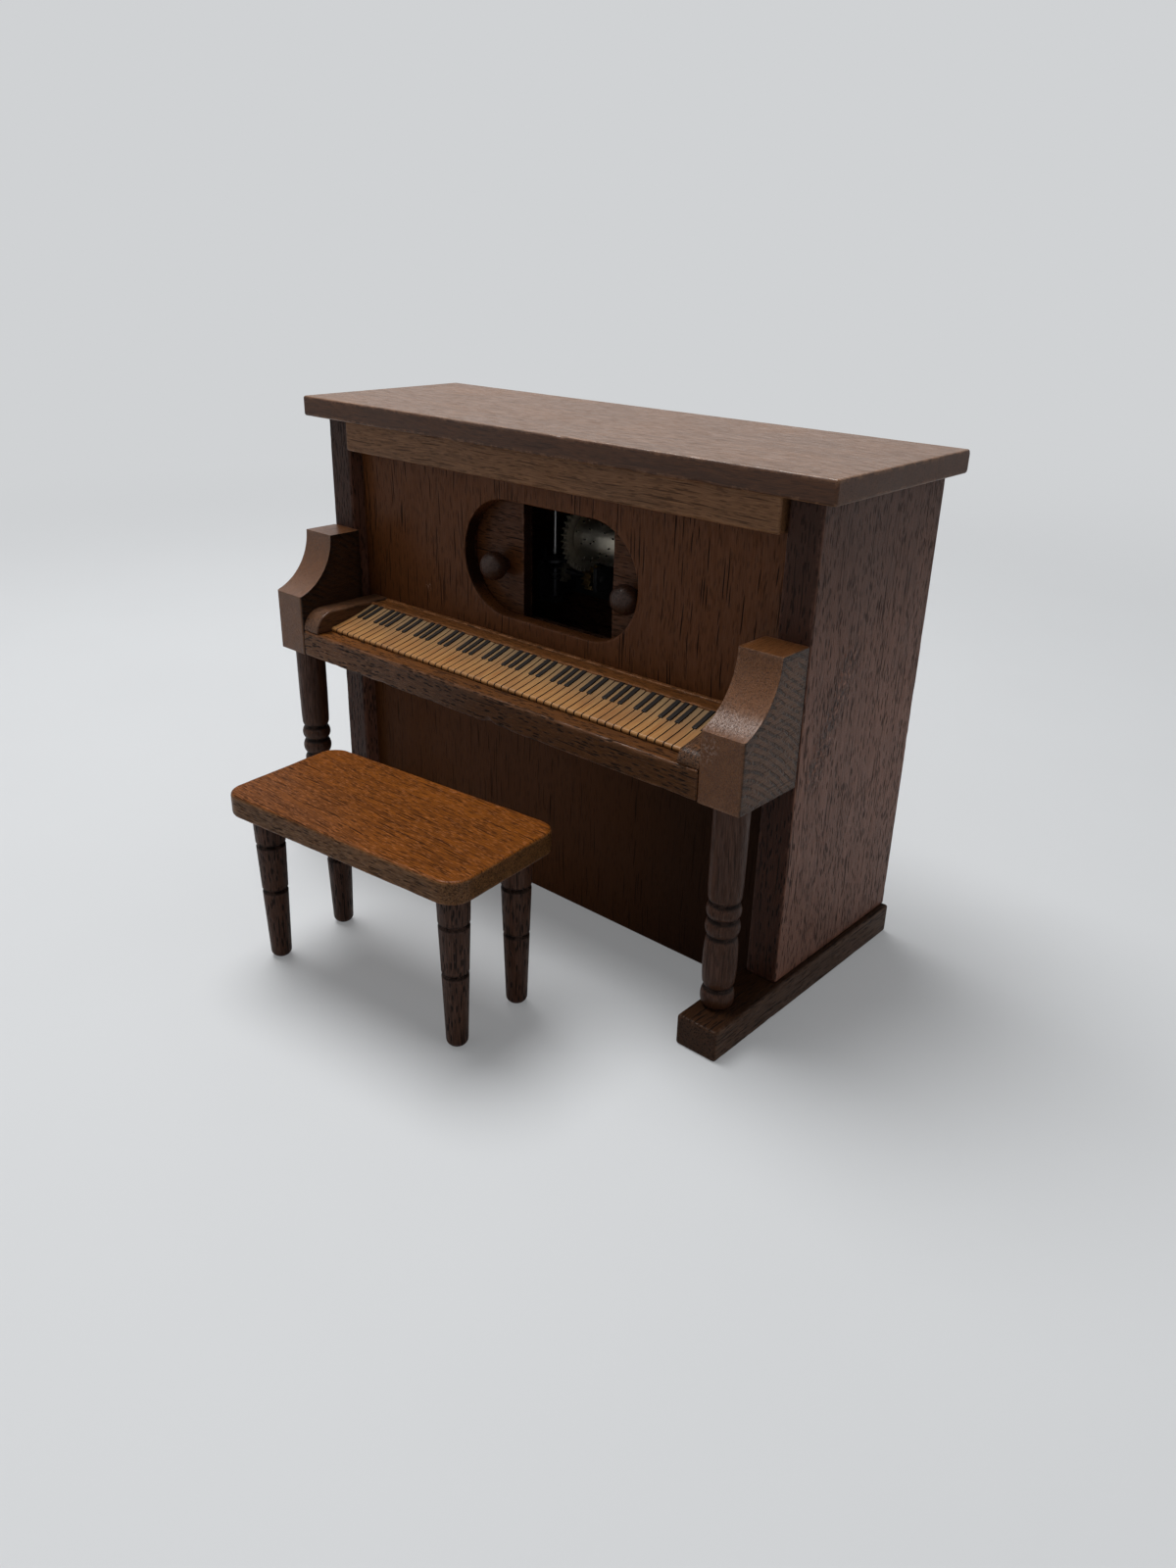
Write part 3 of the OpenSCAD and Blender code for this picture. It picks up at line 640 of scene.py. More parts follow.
def rubbed(coarse, fine, share):
    """Uneven wear, 0 or more, from a coarse pattern and a share of a fine one."""
    return max(0, noise.noise(Vector(coarse)) + share*noise.noise(Vector(fine)))


def edge_places(length, radius, step=1.0):
    """Places along a board and how far it draws in there, so that its ends are rounded."""
    ends = [(radius*(1 - math.cos(turn)), radius*(1 - math.sin(turn))) for turn in quarter(4)]
    span = length - 2*radius
    count = int(span/step)
    middle = [(radius + span*k/count, 0.0) for k in range(1, count)]
    return ends + middle + [(length - place, inset) for place, inset in reversed(ends)]


def worn_board(node, name, material, along, wear=0.35, nicks=(), seed=0):
    """Adds a board with rounded edges that are rubbed unevenly; sizes in millimetres.

    A nick is (side, top, place, half width, depth), where side and top pick one of the four long edges.
    """
    low, high = [Vector(corner)/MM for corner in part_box(node)]
    a, b = [axis for axis in (X, Y, Z) if axis != along]
    build = bmesh.new()
    rows = []
    for place, inset in edge_places(high[along] - low[along], BOARD_EDGE):
        row = []
        for corner, (side, top) in enumerate(((-1, -1), (1, -1), (1, 1), (-1, 1))):
            fine = (0.5*place, 3.1*corner, seed + 9)
            bend = BOARD_EDGE + wear*rubbed((0.11*place, 7.3*corner, seed), fine, 0.6)
            for nick_side, nick_top, spot, half, depth in nicks:
                if (nick_side, nick_top) == (side, top):
                    bend += depth*math.exp(-((place + low[along] - spot)/half)**2)
            for turn in quarter(5):
                turn += math.pi/2*corner + math.pi
                point = Vector((0, 0, 0))
                point[along] = low[along] + place
                point[a] = (low if side < 0 else high)[a] - side*(inset + bend) + bend*math.cos(turn)
                point[b] = (low if top < 0 else high)[b] - top*(inset + bend) + bend*math.sin(turn)
                row.append(build.verts.new(point*MM))
        rows.append(row)
    bridge(build, rows)
    add_built(node, name, build, material)


def plate_outline(length, depth, corner):
    """Points and outward directions round a plate with round corners, in millimetres about its middle."""
    outline = []
    for k, (x, y) in enumerate(((1, 1), (-1, 1), (-1, -1), (1, -1))):
        middle = Vector((x*(length/2 - corner), y*(depth/2 - corner)))
        for turn in quarter(8):
            turn += math.pi/2*k
            side = Vector((math.cos(turn), math.sin(turn)))
            outline.append((middle + corner*side, side))
        span = (length if k % 2 == 0 else depth) - 2*corner
        start, side = outline[-1]
        step = Vector((-side[1], side[0]))
        for j in range(1, int(span)):
            outline.append((start + step*j*span/int(span), side))
    return outline


def worn_plate(build, outline, low, high, radius, wear, place):
    """Adds a plate with unevenly rubbed edges to a bmesh, from low to high in millimetres."""
    rings = []
    for rise in (-1, 1):
        for turn in quarter(4)[::rise]:
            ring = []
            for spot, side in outline:
                coarse = (0.25*spot[0], 0.25*spot[1], 5 + rise)
                bend = radius + wear*rubbed(coarse, (spot[0], spot[1], 9 + rise), 0.5)
                inset = bend*(1 - math.cos(turn))
                height = (low if rise < 0 else high) - rise*bend*(1 - math.sin(turn))
                ring.append(build.verts.new(place @ (Vector((*(spot - inset*side), height))*MM)))
            rings.append(ring)
    bridge(build, rings)


def bead(low, high, neck, swell, fullness=0.6, steps=12):
    """(radius, height) points of a turned bead; a low fullness gives a flat-sided barrel."""
    points = []
    for k in range(steps + 1):
        t = k/steps
        points.append((neck + (swell - neck)*math.sin(math.pi*t)**fullness, low + (high - low)*t))
    return points


def turned(build, profile, place, sides=56):
    """Adds a lathe-turned form to a bmesh; profile is in millimetres, place turns its axis from Z."""
    rings = []
    for radius, height in profile:
        if radius < 0.01:
            rings.append([build.verts.new(place @ Vector((0, 0, height*MM)))])
            continue
        ring = []
        for k in range(sides):
            angle = math.tau*k/sides
            point = Vector((radius*math.cos(angle), radius*math.sin(angle), height))*MM
            ring.append(build.verts.new(place @ point))
        rings.append(ring)
    for low, high in zip(rings, rings[1:]):
        for k in range(sides):
            j = k + 1
            face = [low[k % len(low)], low[j % len(low)], high[j % len(high)], high[k % len(high)]]
            build.faces.new(list(dict.fromkeys(face)))


def slab(name, outline, x1, x2):
    """A mesh of a (Y, Z) outline in metres, pushed from x1 to x2."""
    build = bmesh.new()
    bridge(build, [[build.verts.new((x, y, z)) for y, z in outline] for x in (x1, x2)])
    bmesh.ops.recalc_face_normals(build, faces=build.faces)
    return mesh_of(build, name)


def key_line(front, base, first, last, steps=14):
    """(Y, Z) points in metres along the keys' hollow top, from one place behind the nose to another."""
    points = []
    for k in range(steps + 1):
        run = first + (last - first)*k/steps
        rise = KEY_SLOPE*run + (KEY_RISE - KEY_SLOPE*KEY_RUN)*(run/KEY_RUN)**2
        points.append((front + (KEY_NOSE + run)*MM, base + rise*MM))
    return points


def key_nose(front, top, radius, bend, steps=10):
    """(Y, Z) points of a front that is rounded through the bend, up to its top; in metres."""
    points = []
    for k in range(steps + 1):
        turn = math.pi/2 - bend*(steps - k)/steps
        points.append((front + radius*(1 - math.cos(turn)), top - radius*(1 - math.sin(turn))))
    return points


def key_row():
    """Tree that sets a row of keys from its first one; black rows leave out two of every seven."""
    tree = Growth("key_row")
    count = tree.input("Count", "Int")
    pitch, black, uneven = [tree.input(name, "Float") for name in ("Pitch", "Black", "Uneven")]
    material = tree.input("Material", "Material")
    step = tree.node("ShaderNodeCombineXYZ", None, {"X": pitch})
    line = tree.node("GeometryNodeMeshLine", None, {"Count": count, "Offset": step})
    place = tree.node("GeometryNodeInputIndex") % 7
    keep = 1 - black*(place.is_near(2) + place.is_near(6))
    values = {"Points": line, "Selection": keep, "Instance": tree.seed_mesh}
    keys = tree.node("GeometryNodeInstanceOnPoints", None, values)
    # Inputs 2 and 3 are the least and most of a plain number, 8 is the seed
    values = {2: -1.0, 3: 0.0, 8: 4}
    lift = tree.node("FunctionNodeRandomValue", {"data_type": "FLOAT"}, values, out=1)*uneven
    shift = tree.node("ShaderNodeCombineXYZ", None, {"Z": lift})
    values = {"Instances": keys, "Translation": shift}
    tree.end(tree.node("GeometryNodeTranslateInstances", None, values), material)
    return tree


# Sizes and colours that a user would change
def colour_setting(name, description, colour):
    return FloatVectorProperty(name=name, description=description, subtype="COLOR", size=3,
                               default=linear(colour), min=0, max=1)


class WoodSettings(bpy.types.PropertyGroup):
    front: colour_setting("Front", "Stain of the front panels and doors", (88, 50, 22))
    side: colour_setting("Sides", "Stain of the side panels and back", (115, 77, 61))
    lid: colour_setting("Lid", "Stain of the lid and the moulding under it", (113, 78, 50))
    arm: colour_setting("Arms", "Stain of the arms, runners and key blocks", (90, 58, 34))
    seat: colour_setting("Seat", "Stain of the bench's seat", (106, 57, 10))
    bed: colour_setting("Key bed", "Stain of the key bed and the strip behind the keys", (74, 44, 18))
    turned: colour_setting("Turned wood", "Stain of the columns, legs and knobs", (62, 36, 22))
    edge: FloatProperty(name="Edge", description="Radius of eased edges, in millimetres", default=0.35,
                        min=0, max=1)


class KeySettings(bpy.types.PropertyGroup):
    pale: colour_setting("Pale", "Pale tone of the keys", (174, 131, 80))
    tan: colour_setting("Tan", "Aged tone of the keys", (150, 97, 49))
    black: colour_setting("Black", "Tone of the black keys", (24, 19, 16))
    count: IntProperty(name="White keys", description="Number of white keys", default=52, min=7, max=88)
    cut: FloatProperty(name="Cut", description="Gap between white keys, in millimetres", default=0.18,
                       min=0.05, max=0.6)


class StageSettings(bpy.types.PropertyGroup):
    ground: colour_setting("Ground", "Colour of the floor and backdrop", (208, 210, 212))
    top_power: FloatProperty(name="Top light", description="Power of the top light", default=7.8, min=0,
                             unit="POWER")
    fill_power: FloatProperty(name="Fill light", description="Power of each weak side light", default=0.5,
                              min=0, unit="POWER")
    world: FloatProperty(name="Sky", description="Strength of the light all round", default=0.2, min=0)


class MUSICBOX_OT_case(bpy.types.Operator):
    """Finishes the boards of the case, its runners and arms"""
    bl_idname = "musicbox.case"
    bl_label = "Case"

    def execute(self, context):
        wood = context.scene.musicbox_wood
        self.make_sides(wood)
        self.make_fronts(wood)
        self.make_inside(wood)
        return {"FINISHED"}

    @staticmethod
    def make_sides(wood):
        """Side panels, base runners and arms."""
        scar = [((SIDE_X, FRONT_Y + 17 - 2.4*k, 79 - 5.5*k), 5) for k in range(5)]
        # Painted shade: darker towards the top, and dark on the edges
        side = stained_wood("side_walnut", Z, wood.side, 1.0, pore=0.9, short=0.9, rough=0.4, shine=0.14,
                            coat=0.38, relief=0.35, torn=scar, shade_ramp=(Z, 60, 115, 0.62),
                            face_light=((X,), (0.3, 0.24, 0.2), 1, 0.1))
        # Painted shade on all but the runners' sides, which stay lighter
        runner = stained_wood("runner_walnut", Y, scaled(wood.arm, 0.6), 4.0, pore=0.9, relief=0.3,
                              shine=0.1, coat=0.35, face_light=((X,), (0.6, 0.56, 0.54), 1.3, 0.5))
        dents = [((SIDE_X - 8 - k, FRONT_Y - 20.4, 69 - 2*k), 3.2) for k in range(2)]
        saw_centre = (SIDE_X, FRONT_Y - 40, 20)
        for k, (half, depth) in enumerate((("left", 0.45), ("right", 1))):
            # Painted shade on the left arm's sides, by its share of 0.45; both arms are painted lighter and
            # warmer on their other faces
            outer = scaled((1.25, 1.12, 0.85), 1/depth)
            arm = stained_wood(half + "_arm_walnut", Y, scaled(wood.arm, depth), 14.0, pore=0.4, rough=0.26,
                               coat=0.5, relief=0.25, edge_dark=0.9, spots=dents, sawn=saw_centre,
                               face_light=((X,), outer, 0.15, 1))
            worn_board(half + "_side_panel", half + "_side_board", side, Z, seed=k)
            worn_board(half + "_runner", half + "_base_runner", runner, Y, seed=4 + k)
            eased(half + "_arm", half + "_key_arm", arm, wood.edge)

    @staticmethod
    def make_fronts(wood):
        """Upper and lower front panel and the cornice under the lid."""
        knock = [((-42.3, FRONT_Y + 4, 74.8), 1.6)]
        # Painted shade on the faces that look sideways, such as the window's side walls
        front = stained_wood("front_walnut", Z, wood.front, 2.0, pore=1.0, short=0.35, figure=0.35,
                             shine=0.1, spots=knock, face_light=((Y, Z), (0.16, 0.13, 0.11), 1, 0.1))
        # Painted shade: the lower panel is darker, and darker still towards the right
        low_front = stained_wood("low_front_walnut", Z, scaled(wood.front, 0.7), 15.0, pore=0.7, short=0.4,
                                 figure=0.25, shine=0.06, coat=0.08, shade_ramp=(X, -5, 60, 0.85))
        rail = stained_wood("cornice_walnut", X, wood.lid, 3.0, pore=0.6)
        eased("upper_front_panel", "upper_front_board", front, wood.edge)
        eased("lower_front_panel", "lower_front_board", low_front, wood.edge)
        worn_board("cornice", "cornice_rail", rail, X, seed=8)

    @staticmethod
    def make_inside(wood):
        """Boards inside the case and its back."""
        # Painted shade: the boards inside the case are dark
        inside = stained_wood("inside_walnut", Z, scaled(wood.front, 0.3), 5.0, rough=0.65, shine=0.1,
                              coat=0.1)
        paint(inside, "bottom_board", "left_batten", "right_batten", "upper_track", "lower_track")
        back = stained_wood("back_walnut", X, scaled(wood.side, 0.7), 17.0, pore=0.9, short=0.8, shine=0.12,
                            coat=0.2, relief=0.2)
        eased("back_panel", "back_board", back, wood.edge)


class MUSICBOX_OT_columns(bpy.types.Operator):
    """Turns the two columns under the arms"""
    bl_idname = "musicbox.columns"
    bl_label = "Columns"

    def execute(self, context):
        wood = context.scene.musicbox_wood
        material = stained_wood("column_walnut", Z, wood.turned, 6.0, pore=0.5, rough=0.4, shine=0.1,
                                coat=0.45, relief=0.15, rings=[COLUMN_FOOT + z for z in COLUMN_RINGS])
        for half in ("left", "right"):
            low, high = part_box(half + "_column")
            middle = (Vector(low) + Vector(high))/2
            build = bmesh.new()
            turned(build, self.profile((high[Z] - low[Z])/MM),
                   Matrix.Translation((middle[X], middle[Y], low[Z])))
            add_built(half + "_column", half + "_turned_column", build, material)
        return {"FINISHED"}

    @staticmethod
    def profile(tall):
        """(radius, height) points of a column: foot, barrel and two beads between rings, then the shaft."""
        spans = [(low + RING_HALF, high - RING_HALF) for low, high in zip(COLUMN_RINGS, COLUMN_RINGS[1:])]
        points = [(0, 0), (2.4, 0)]
        points += bead(0.3, COLUMN_RINGS[0] - RING_HALF, 3.0, 3.75)[1:]
        points += bead(*spans[0], 3.0, 3.75, 0.3)
        for span in spans[1:]:
            points += bead(*span, 2.95, 3.8)
        points += [(2.95, COLUMN_RINGS[-1] + RING_HALF), (3.35, 26.3), (3.6, 27), (3.7, 29), (3.8, 36)]
        return points + [(3.85, tall - 0.2), (3.6, tall), (0, tall)]


class MUSICBOX_OT_keyboard(bpy.types.Operator):
    """Finishes the key bed and its blocks and sets the rows of keys"""
    bl_idname = "musicbox.keyboard"
    bl_label = "Keyboard"

    def execute(self, context):
        wood = context.scene.musicbox_wood
        self.make_bed(wood)
        self.make_blocks(wood)
        back = self.make_rows(context.scene.musicbox_keys)
        self.make_strip(wood, back)
        return {"FINISHED"}

    @staticmethod
    def make_bed(wood):
        # Painted light on the bed's top, painted shade towards the right, and painted glints
        bed = stained_wood("bed_walnut", X, scaled(wood.bed, 1.6), 7.0, pore=1.0, short=0.95, figure=0.9,
                           rough=0.42, shine=0.1, coat=0.85, relief=0.35, edge_wear_and_light=0.9, painted_glint=0.4,
                           shade_ramp=(X, -60, 10, 0.45), face_light=((Y,), (1.35, 1.2, 0.7), 0.5, 1))
        chips = ((-1, -1, 4.9, 1.5, 1.7), (-1, -1, 9.2, 3, 0.7), (-1, -1, -33, 2, 0.6),
                 (-1, 1, 41, 1.5, 0.5))
        worn_board("key_bed", "key_bed_board", bed, X, 0.5, chips, seed=11)

    @staticmethod
    def make_blocks(wood):
        """The whole left block and the right one with its broken nose."""
        block = stained_wood("block_walnut", Y, wood.arm, 8.0, relief=0.3, coat=0.6)
        eased("left_key_block", "left_key_cheek", block, wood.edge)
        patch = [((61.5, FRONT_Y - 19, 66.5), 5)]
        broken = stained_wood("broken_walnut", Y, wood.arm, 16.0, relief=0.3, torn=patch)
        low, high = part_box("right_key_block")
        nose = [(0.2, 0), (0.1, 1.2), (0.8, 2.4), (2.2, 3.2), (4.6, 3.6), (7.5, 4.1), (10, 4.9), (12.5, 5.3)]
        outline = [(low[Y] + y*MM, low[Z] + z*MM) for y, z in nose]
        outline += [(high[Y], high[Z]), (high[Y], low[Z])]
        cheek = settled(slab("right_key_cheek", outline, low[X], high[X]), broken, 0.3)
        add_piece("right_key_block", "right_key_cheek", cheek)

    @staticmethod
    def make_rows(keys):
        """White and black keys; gives the place of their back edge along Y."""
        low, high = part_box("white_keys")
        pitch = (high[X] - low[X])/keys.count
        half = keys.cut*MM/2
        front, base = low[Y] - KEY_AHEAD*MM, low[Z] + 2*KEY_NOSE*MM
        row = key_row()
        ivory = aged_key("aged_key", tuple(keys.pale), tuple(keys.tan), low[X]/MM, pitch/MM, front/MM)
        outline = key_nose(front, base, KEY_NOSE*MM, math.pi) + key_line(front, base, 0.2, KEY_RUN)
        back = outline[-1][0]
        outline.append((back, low[Z]))
        first = slab("white_key", outline, low[X] + half, low[X] + pitch - half)
        whites = row.grow(first, Count=keys.count, Pitch=pitch, Black=0.0, Uneven=0.05*MM, Material=ivory)
        add_piece("white_keys", "white_key_row", settled(whites, ivory, 0.05))
        lacquer = black_paint("black_key", tuple(keys.black))
        start = low[X] + pitch
        under = key_line(front, base, BLACK_RUN, KEY_RUN)
        top = key_line(front, base + BLACK_THICK*MM, BLACK_RUN + BLACK_THICK, KEY_RUN)
        nose = key_nose(under[0][0], top[0][1], BLACK_THICK*MM, math.pi/2)
        first = slab("black_key", under[::-1] + nose + top[1:], start - BLACK_HALF*MM, start + BLACK_HALF*MM)
        blacks = row.grow(first, Count=keys.count - 1, Pitch=pitch, Black=1.0, Uneven=0.04*MM,
                          Material=lacquer)
        add_piece("black_keys", "black_key_row", settled(blacks, lacquer, 0.06))
        return back

    @staticmethod
    def make_strip(wood, back):
        """Moulded strip from the keys' back edge to the front panel."""
        # Painted glints on the strip
        ledge = stained_wood("strip_walnut", X, scaled(wood.bed, 2.7), 18.0, rough=0.42, shine=0.1, coat=0.5,
                             relief=0.3, edge_wear_and_light=0.9, painted_glint=0.3)
        low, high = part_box("fall_strip")
        steps = [(0, 4.95), (0.2, 5.15), (0.75, 5.15), (0.95, 4.9), (4.8, 4.9), (5, 5.2)]
        outline = [(back, low[Z])] + [(back + y*MM, low[Z] + z*MM) for y, z in steps]
        outline += [(high[Y], outline[-1][1]), (high[Y], low[Z])]
        strip = settled(slab("fall_moulding", outline, low[X], high[X]), ledge, 0.1)
        add_piece("fall_strip", "fall_moulding", strip)


class MUSICBOX_OT_doors(bpy.types.Operator):
    """Finishes the two sliding doors and turns their knobs"""
    bl_idname = "musicbox.doors"
    bl_label = "Doors"

    def execute(self, context):
        wood = context.scene.musicbox_wood
        # Painted shade: the door leaves are darker, and darker still on their edges
        leaf = stained_wood("door_walnut", X, scaled(wood.front, 0.7), 9.0, pore=0.9, shine=0.1,
                            face_light=((Y,), (0.25, 0.2, 0.18), 1, 0.2))
        ball = stained_wood("knob_walnut", Y, scaled(wood.turned, 0.7), 10.0, pore=0.5, rough=0.35,
                            coat=0.45, relief=0.2, edge_wear_and_light=0)
        for half in ("left", "right"):
            eased(half + "_door", half + "_door_leaf", leaf, LEAF_EDGE)
            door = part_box(half + "_door")
            tenon = (door[1][Y] - door[0][Y])/MM
            low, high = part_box(half + "_door_knob")
            middle = (Vector(low) + Vector(high))/2
            reach = (high[Y] - low[Y])/MM - tenon
            place = Matrix.Translation((middle[X], high[Y] - tenon*MM, middle[Z]))
            build = bmesh.new()
            turned(build, self.profile(tenon, reach, (high[X] - low[X])/2/MM),
                   place @ Matrix.Rotation(math.pi/2, 4, "X"))
            add_built(half + "_door_knob", half + "_turned_knob", build, ball)
        return {"FINISHED"}

    @staticmethod
    def profile(tenon, reach, radius):
        """(radius, height) points of a knob: tenon, neck and ball."""
        points = [(0, -tenon), (KNOB_TENON, -tenon), (KNOB_TENON, 0)]
        points += [(KNOB_NECK, 0), (KNOB_NECK - 0.05, 0.5)]
        start, steps = -58, 18
        for k in range(steps + 1):
            turn = math.radians(start + (90 - start)*k/steps)
            points.append((radius*math.cos(turn), reach - KNOB_HALF + KNOB_HALF*math.sin(turn)))
        return points


class MUSICBOX_OT_lid(bpy.types.Operator):
    """Finishes the lid, its hinges and the stop pin"""
    bl_idname = "musicbox.lid"
    bl_label = "Lid"

    def execute(self, context):
        wood = context.scene.musicbox_wood
        chips = ((-1, -1, 49, 2.2, 0.6), (-1, -1, 31, 3, 0.4), (-1, 1, -20, 1.5, 0.4), (-1, 1, 12, 1, 0.5))
        # Painted shade on the lid's edges
        board = stained_wood("lid_walnut", X, wood.lid, 11.0, pore=0.45, rough=0.42, shine=0.3, coat=1.0,
                             relief=0.05, edge_wear_and_light=0.9, face_light=((Z,), (0.36, 0.27, 0.2), 1, 0.05))
        worn_board("top_lid", "lid_board", board, X, 0.3, chips, seed=15)
        brass = worked_metal("hinge_brass", (0.62, 0.42, 0.17), (0.3, 0.19, 0.08), 0.3, (0.2, 4, 4))
        for node in ("hinge_case_leaves", "hinge_lid_leaves", "hinge_pins", "hinge_case_screws",
                     "hinge_lid_screws", "back_screws"):
            eased(node, "bright_" + node, brass, HINGE_EDGE)
        wire = worked_metal("wire_steel", (0.55, 0.55, 0.55), (0.3, 0.29, 0.28), 0.28, (0.1, 0.1, 5))
        paint(wire, "stop_pin")
        return {"FINISHED"}


class MUSICBOX_OT_movement(bpy.types.Operator):
    """Finishes the music movement and its winding key"""
    bl_idname = "musicbox.movement"
    bl_label = "Movement"

    def execute(self, context):
        steel = worked_metal("bright_steel", (0.36, 0.36, 0.37), (0.18, 0.17, 0.16), 0.28, (0.1, 3, 3))
        brass = worked_metal("gear_brass", (0.42, 0.29, 0.12), (0.2, 0.13, 0.05), 0.3, (0.15, 3, 3))
        # Painted shade inside the case: the zinc castings are dark
        zinc = cast_metal("cast_zinc", (0.09, 0.09, 0.095))
        nylon = moulded_nylon("aged_nylon", (0.22, 0.19, 0.14))
        # Painted shade: dark steel for the worm, fan and governor frame
        dark = worked_metal("dark_steel", (0.07, 0.07, 0.075), (0.04, 0.038, 0.036), 0.45, (0.1, 3, 3))
        paint(steel, "click_spring", "cylinder_arbor", "mainspring", "governor_arbor", "winding_arbor")
        paint(dark, "worm_shaft")
        low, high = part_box("cylinder_arbor")
        axis = [(low[k] + high[k])/2/MM for k in (Y, Z)]
        drum = worked_metal("plated_cylinder", (0.62, 0.57, 0.47), (0.34, 0.3, 0.24), 0.24, (0.12, 6, 6),
                            pins=(*axis, CYLINDER_R))
        paint(drum, "music_cylinder")
        for node in ("comb", "comb_screws", "movement_screws"):
            eased(node, "polished_" + node, steel, GEAR_EDGE)
        eased("fan", "polished_fan", dark, GEAR_EDGE)
        eased("governor_frame", "cut_governor_frame", dark, GEAR_EDGE)
        for node in ("cylinder_pinion", "spring_barrel", "barrel_cover", "governor_pinion"):
            eased(node, "cut_" + node, brass, GEAR_EDGE)
        eased("winding_key", "pressed_winding_key", brass, 0.3)
        eased("bedplate", "cast_bedplate", zinc, CAST_EDGE)
        eased("left_bracket", "cast_bracket", zinc, CAST_EDGE)
        eased("great_wheel", "moulded_great_wheel", nylon, GEAR_EDGE)
        eased("worm_wheel", "moulded_worm_wheel", nylon, 0.05)
        return {"FINISHED"}


class MUSICBOX_OT_bench(bpy.types.Operator):
    """Finishes the bench's seat and turns its legs"""
    bl_idname = "musicbox.bench"
    bl_label = "Bench"

    def execute(self, context):
        wood = context.scene.musicbox_wood
        low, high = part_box("bench_seat")
        middle = (Vector(low) + Vector(high))/2
        place = Matrix.Translation((middle[X], middle[Y], 0))
        place = place @ Matrix.Rotation(math.radians(BENCH_TURN), 4, "Z")
        knock = [((middle[X]/MM + 4, middle[Y]/MM + 17, 44), 2.2)]
        # Painted glints on the seat; its sides are greyer
        board = stained_wood("seat_walnut", X, wood.seat, 12.0, pore=0.9, figure=1, rough=0.42, shine=0.05,
                             coat=0.3, edge_wear_and_light=0.8, painted_glint=0.55, spots=knock,
                             face_light=((Z,), (0.8, 1.25, 5.5), 1, 1.7))
        build = bmesh.new()
        outline = plate_outline(SEAT_L, SEAT_D, SEAT_R)
        worn_plate(build, outline, low[Z]/MM, high[Z]/MM, SEAT_EDGE, 0.25, place)
        add_built("bench_seat", "seat_board", build, board)
        tall = low[Z]/MM
        grooves = [share*tall for share in LEG_GROOVES]
        legs = stained_wood("leg_walnut", Z, wood.turned, 13.0, pore=0.9, short=0.9, figure=0.9, rough=0.4,
                            shine=0.1, coat=0.35, relief=0.2, rings=grooves)
        build = bmesh.new()
        for x in (-LEG_X, LEG_X):
            for y in (-LEG_Y, LEG_Y):
                turned(build, self.profile(tall, grooves), place @ Matrix.Translation((x*MM, y*MM, 0)))
        add_built("bench_legs", "turned_legs", build, legs, 50)
        return {"FINISHED"}

    @staticmethod
    def profile(tall, grooves):
        """(radius, height) points of a leg: round tip and a taper with grooves."""
        points = [(LEG_TIP_R*math.sin(turn), LEG_TIP*(1 - math.cos(turn))) for turn in quarter(7)]
        for groove in grooves:
            for offset, depth in ((-0.6, 0), (-0.45, 0.1), (0, 0.65), (0.45, 0.1), (0.6, 0)):
                height = groove + offset
                points.append((LEG_FOOT_R + (LEG_TOP_R - LEG_FOOT_R)*height/tall - depth, height))
        return points + [(LEG_TOP_R, tall), (0, tall)]


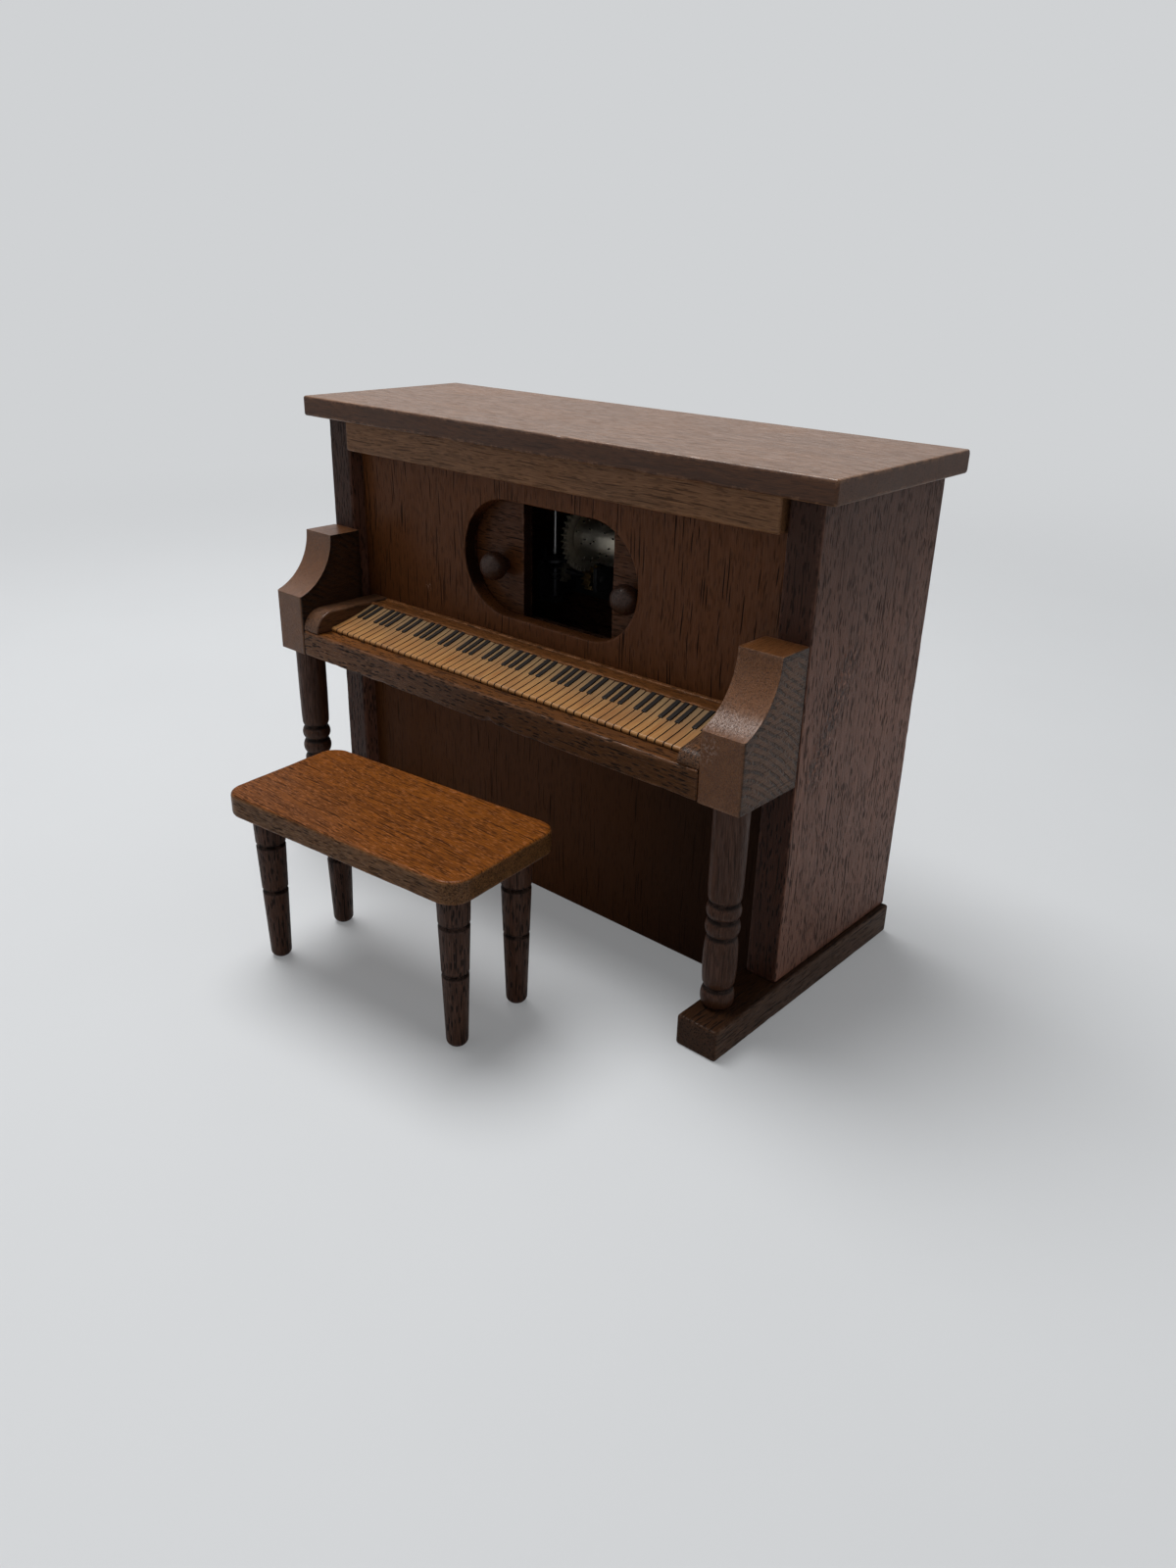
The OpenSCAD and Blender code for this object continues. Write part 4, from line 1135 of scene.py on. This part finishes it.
class MUSICBOX_OT_stage(bpy.types.Operator):
    """Adds the pale floor and backdrop, the lights and the camera"""
    bl_idname = "musicbox.stage"
    bl_label = "Stage"

    def execute(self, context):
        stage = context.scene.musicbox_stage
        self.ground(pale_ground("pale_ground", tuple(stage.ground)))
        self.lamp("top_light", (-0.24, 0.02, 0.85), 0.55, stage.top_power)
        self.lamp("front_light", (-0.3, -0.75, 0.5), 0.8, stage.fill_power)
        self.lamp("side_light", (0.9, 0.1, 0.35), 0.7, stage.fill_power)
        self.room(context.scene, tuple(stage.ground), stage.world)
        context.scene.view_settings.view_transform = "Standard"
        self.camera(context.scene)
        return {"FINISHED"}

    @staticmethod
    def ground(material):
        """Floor that curves up into a backdrop behind the object; in metres."""
        bend, front, back, height, half = 0.5, -2.5, 1.0, 2.2, 3.0
        line = [(front, 0), (back - bend, 0)]
        for turn in quarter(12)[1:]:
            line.append((back - bend + bend*math.sin(turn), bend - bend*math.cos(turn)))
        line.append((back, height))
        build = bmesh.new()
        left = [build.verts.new((-half, y, z)) for y, z in line]
        right = [build.verts.new((half, y, z)) for y, z in line]
        for k in range(len(line) - 1):
            build.faces.new((left[k], right[k], right[k + 1], left[k + 1]))
        mesh = mesh_of(build, "ground")
        mesh.materials.append(material)
        smooth_faces(mesh)
        linked("ground", mesh)

    @staticmethod
    def lamp(name, place, size, power):
        """Round lamp that looks at the object's lower middle."""
        data = bpy.data.lights.new(name, "AREA")
        data.shape = "DISK"
        data.size = size
        data.energy = power
        lamp = linked(name, data)
        lamp.location = place
        aim = Vector((0, 0, 0.05)) - Vector(place)
        lamp.rotation_euler = aim.to_track_quat("-Z", "Y").to_euler()

    @staticmethod
    def room(scene, colour, strength):
        """Faint even light all round, which shows as the pale ground's colour."""
        room = Tree()
        scene.world = bpy.data.worlds.new("soft_room")
        scene.world.use_nodes = True
        room.nodes = scene.world.node_tree
        even = room.nodes.nodes["Background"]
        even.inputs["Color"].default_value = (1, 1, 1, 1)
        even.inputs["Strength"].default_value = strength
        shown = room.node("ShaderNodeBackground", None, {"Color": colour})
        values = {0: seen_rays(room), 1: Wire(room, even.outputs[0]), 2: shown}
        both = room.node("ShaderNodeMixShader", None, values)
        room.feed(room.nodes.nodes["World Output"].inputs["Surface"], both)

    @staticmethod
    def camera(scene):
        """Camera at the photograph's place and angle; angles in radians, places in metres."""
        yaw, pitch, roll = 0.717, 0.431, 0.025
        place = (0.18714, FRONT_Y*MM - 0.19355, 0.15656)
        level_ahead = Vector((-math.sin(yaw), math.cos(yaw), 0))
        ahead = math.cos(pitch)*level_ahead - math.sin(pitch)*Vector((0, 0, 1))
        level = Vector((math.cos(yaw), math.sin(yaw), 0))
        rise = level.cross(ahead)
        right = math.cos(roll)*level + math.sin(roll)*rise
        up = math.cos(roll)*rise - math.sin(roll)*level
        data = bpy.data.cameras.new("camera")
        data.sensor_fit = "VERTICAL"
        data.sensor_height = 36
        data.lens = 26.796
        data.clip_start = 0.01
        camera = linked("camera", data)
        turn = Matrix((right, up, -ahead)).transposed().to_4x4()
        camera.matrix_world = Matrix.Translation(place) @ turn
        scene.camera = camera


OPERATORS = (
    MUSICBOX_OT_case,
    MUSICBOX_OT_columns,
    MUSICBOX_OT_keyboard,
    MUSICBOX_OT_doors,
    MUSICBOX_OT_lid,
    MUSICBOX_OT_movement,
    MUSICBOX_OT_bench,
    MUSICBOX_OT_stage,
)
GROUPS = {"musicbox_wood": WoodSettings, "musicbox_keys": KeySettings, "musicbox_stage": StageSettings}


class MUSICBOX_PT_panel(bpy.types.Panel):
    """Lists the pieces of the music box"""
    bl_label = "Music Box"
    bl_idname = "MUSICBOX_PT_panel"
    bl_space_type = "VIEW_3D"
    bl_region_type = "UI"
    bl_category = "Music Box"

    def draw(self, context):
        for operator in OPERATORS:
            self.layout.operator(operator.bl_idname)
        for group in GROUPS:
            settings = getattr(context.scene, group)
            for name in settings.bl_rna.properties.keys():
                if name not in ("rna_type", "name"):
                    self.layout.prop(settings, name)


CLASSES = (*GROUPS.values(), *OPERATORS, MUSICBOX_PT_panel)


def register():
    for cls in CLASSES:
        bpy.utils.register_class(cls)
    for name, group in GROUPS.items():
        setattr(bpy.types.Scene, name, PointerProperty(type=group))


def unregister():
    for name in GROUPS:
        delattr(bpy.types.Scene, name)
    for cls in reversed(CLASSES):
        bpy.utils.unregister_class(cls)


def main():
    register()
    bpy.ops.musicbox.case()
    bpy.ops.musicbox.columns()
    bpy.ops.musicbox.keyboard()
    bpy.ops.musicbox.doors()
    bpy.ops.musicbox.lid()
    bpy.ops.musicbox.movement()
    bpy.ops.musicbox.bench()
    bpy.ops.musicbox.stage()


if __name__ == "__main__":
    main()
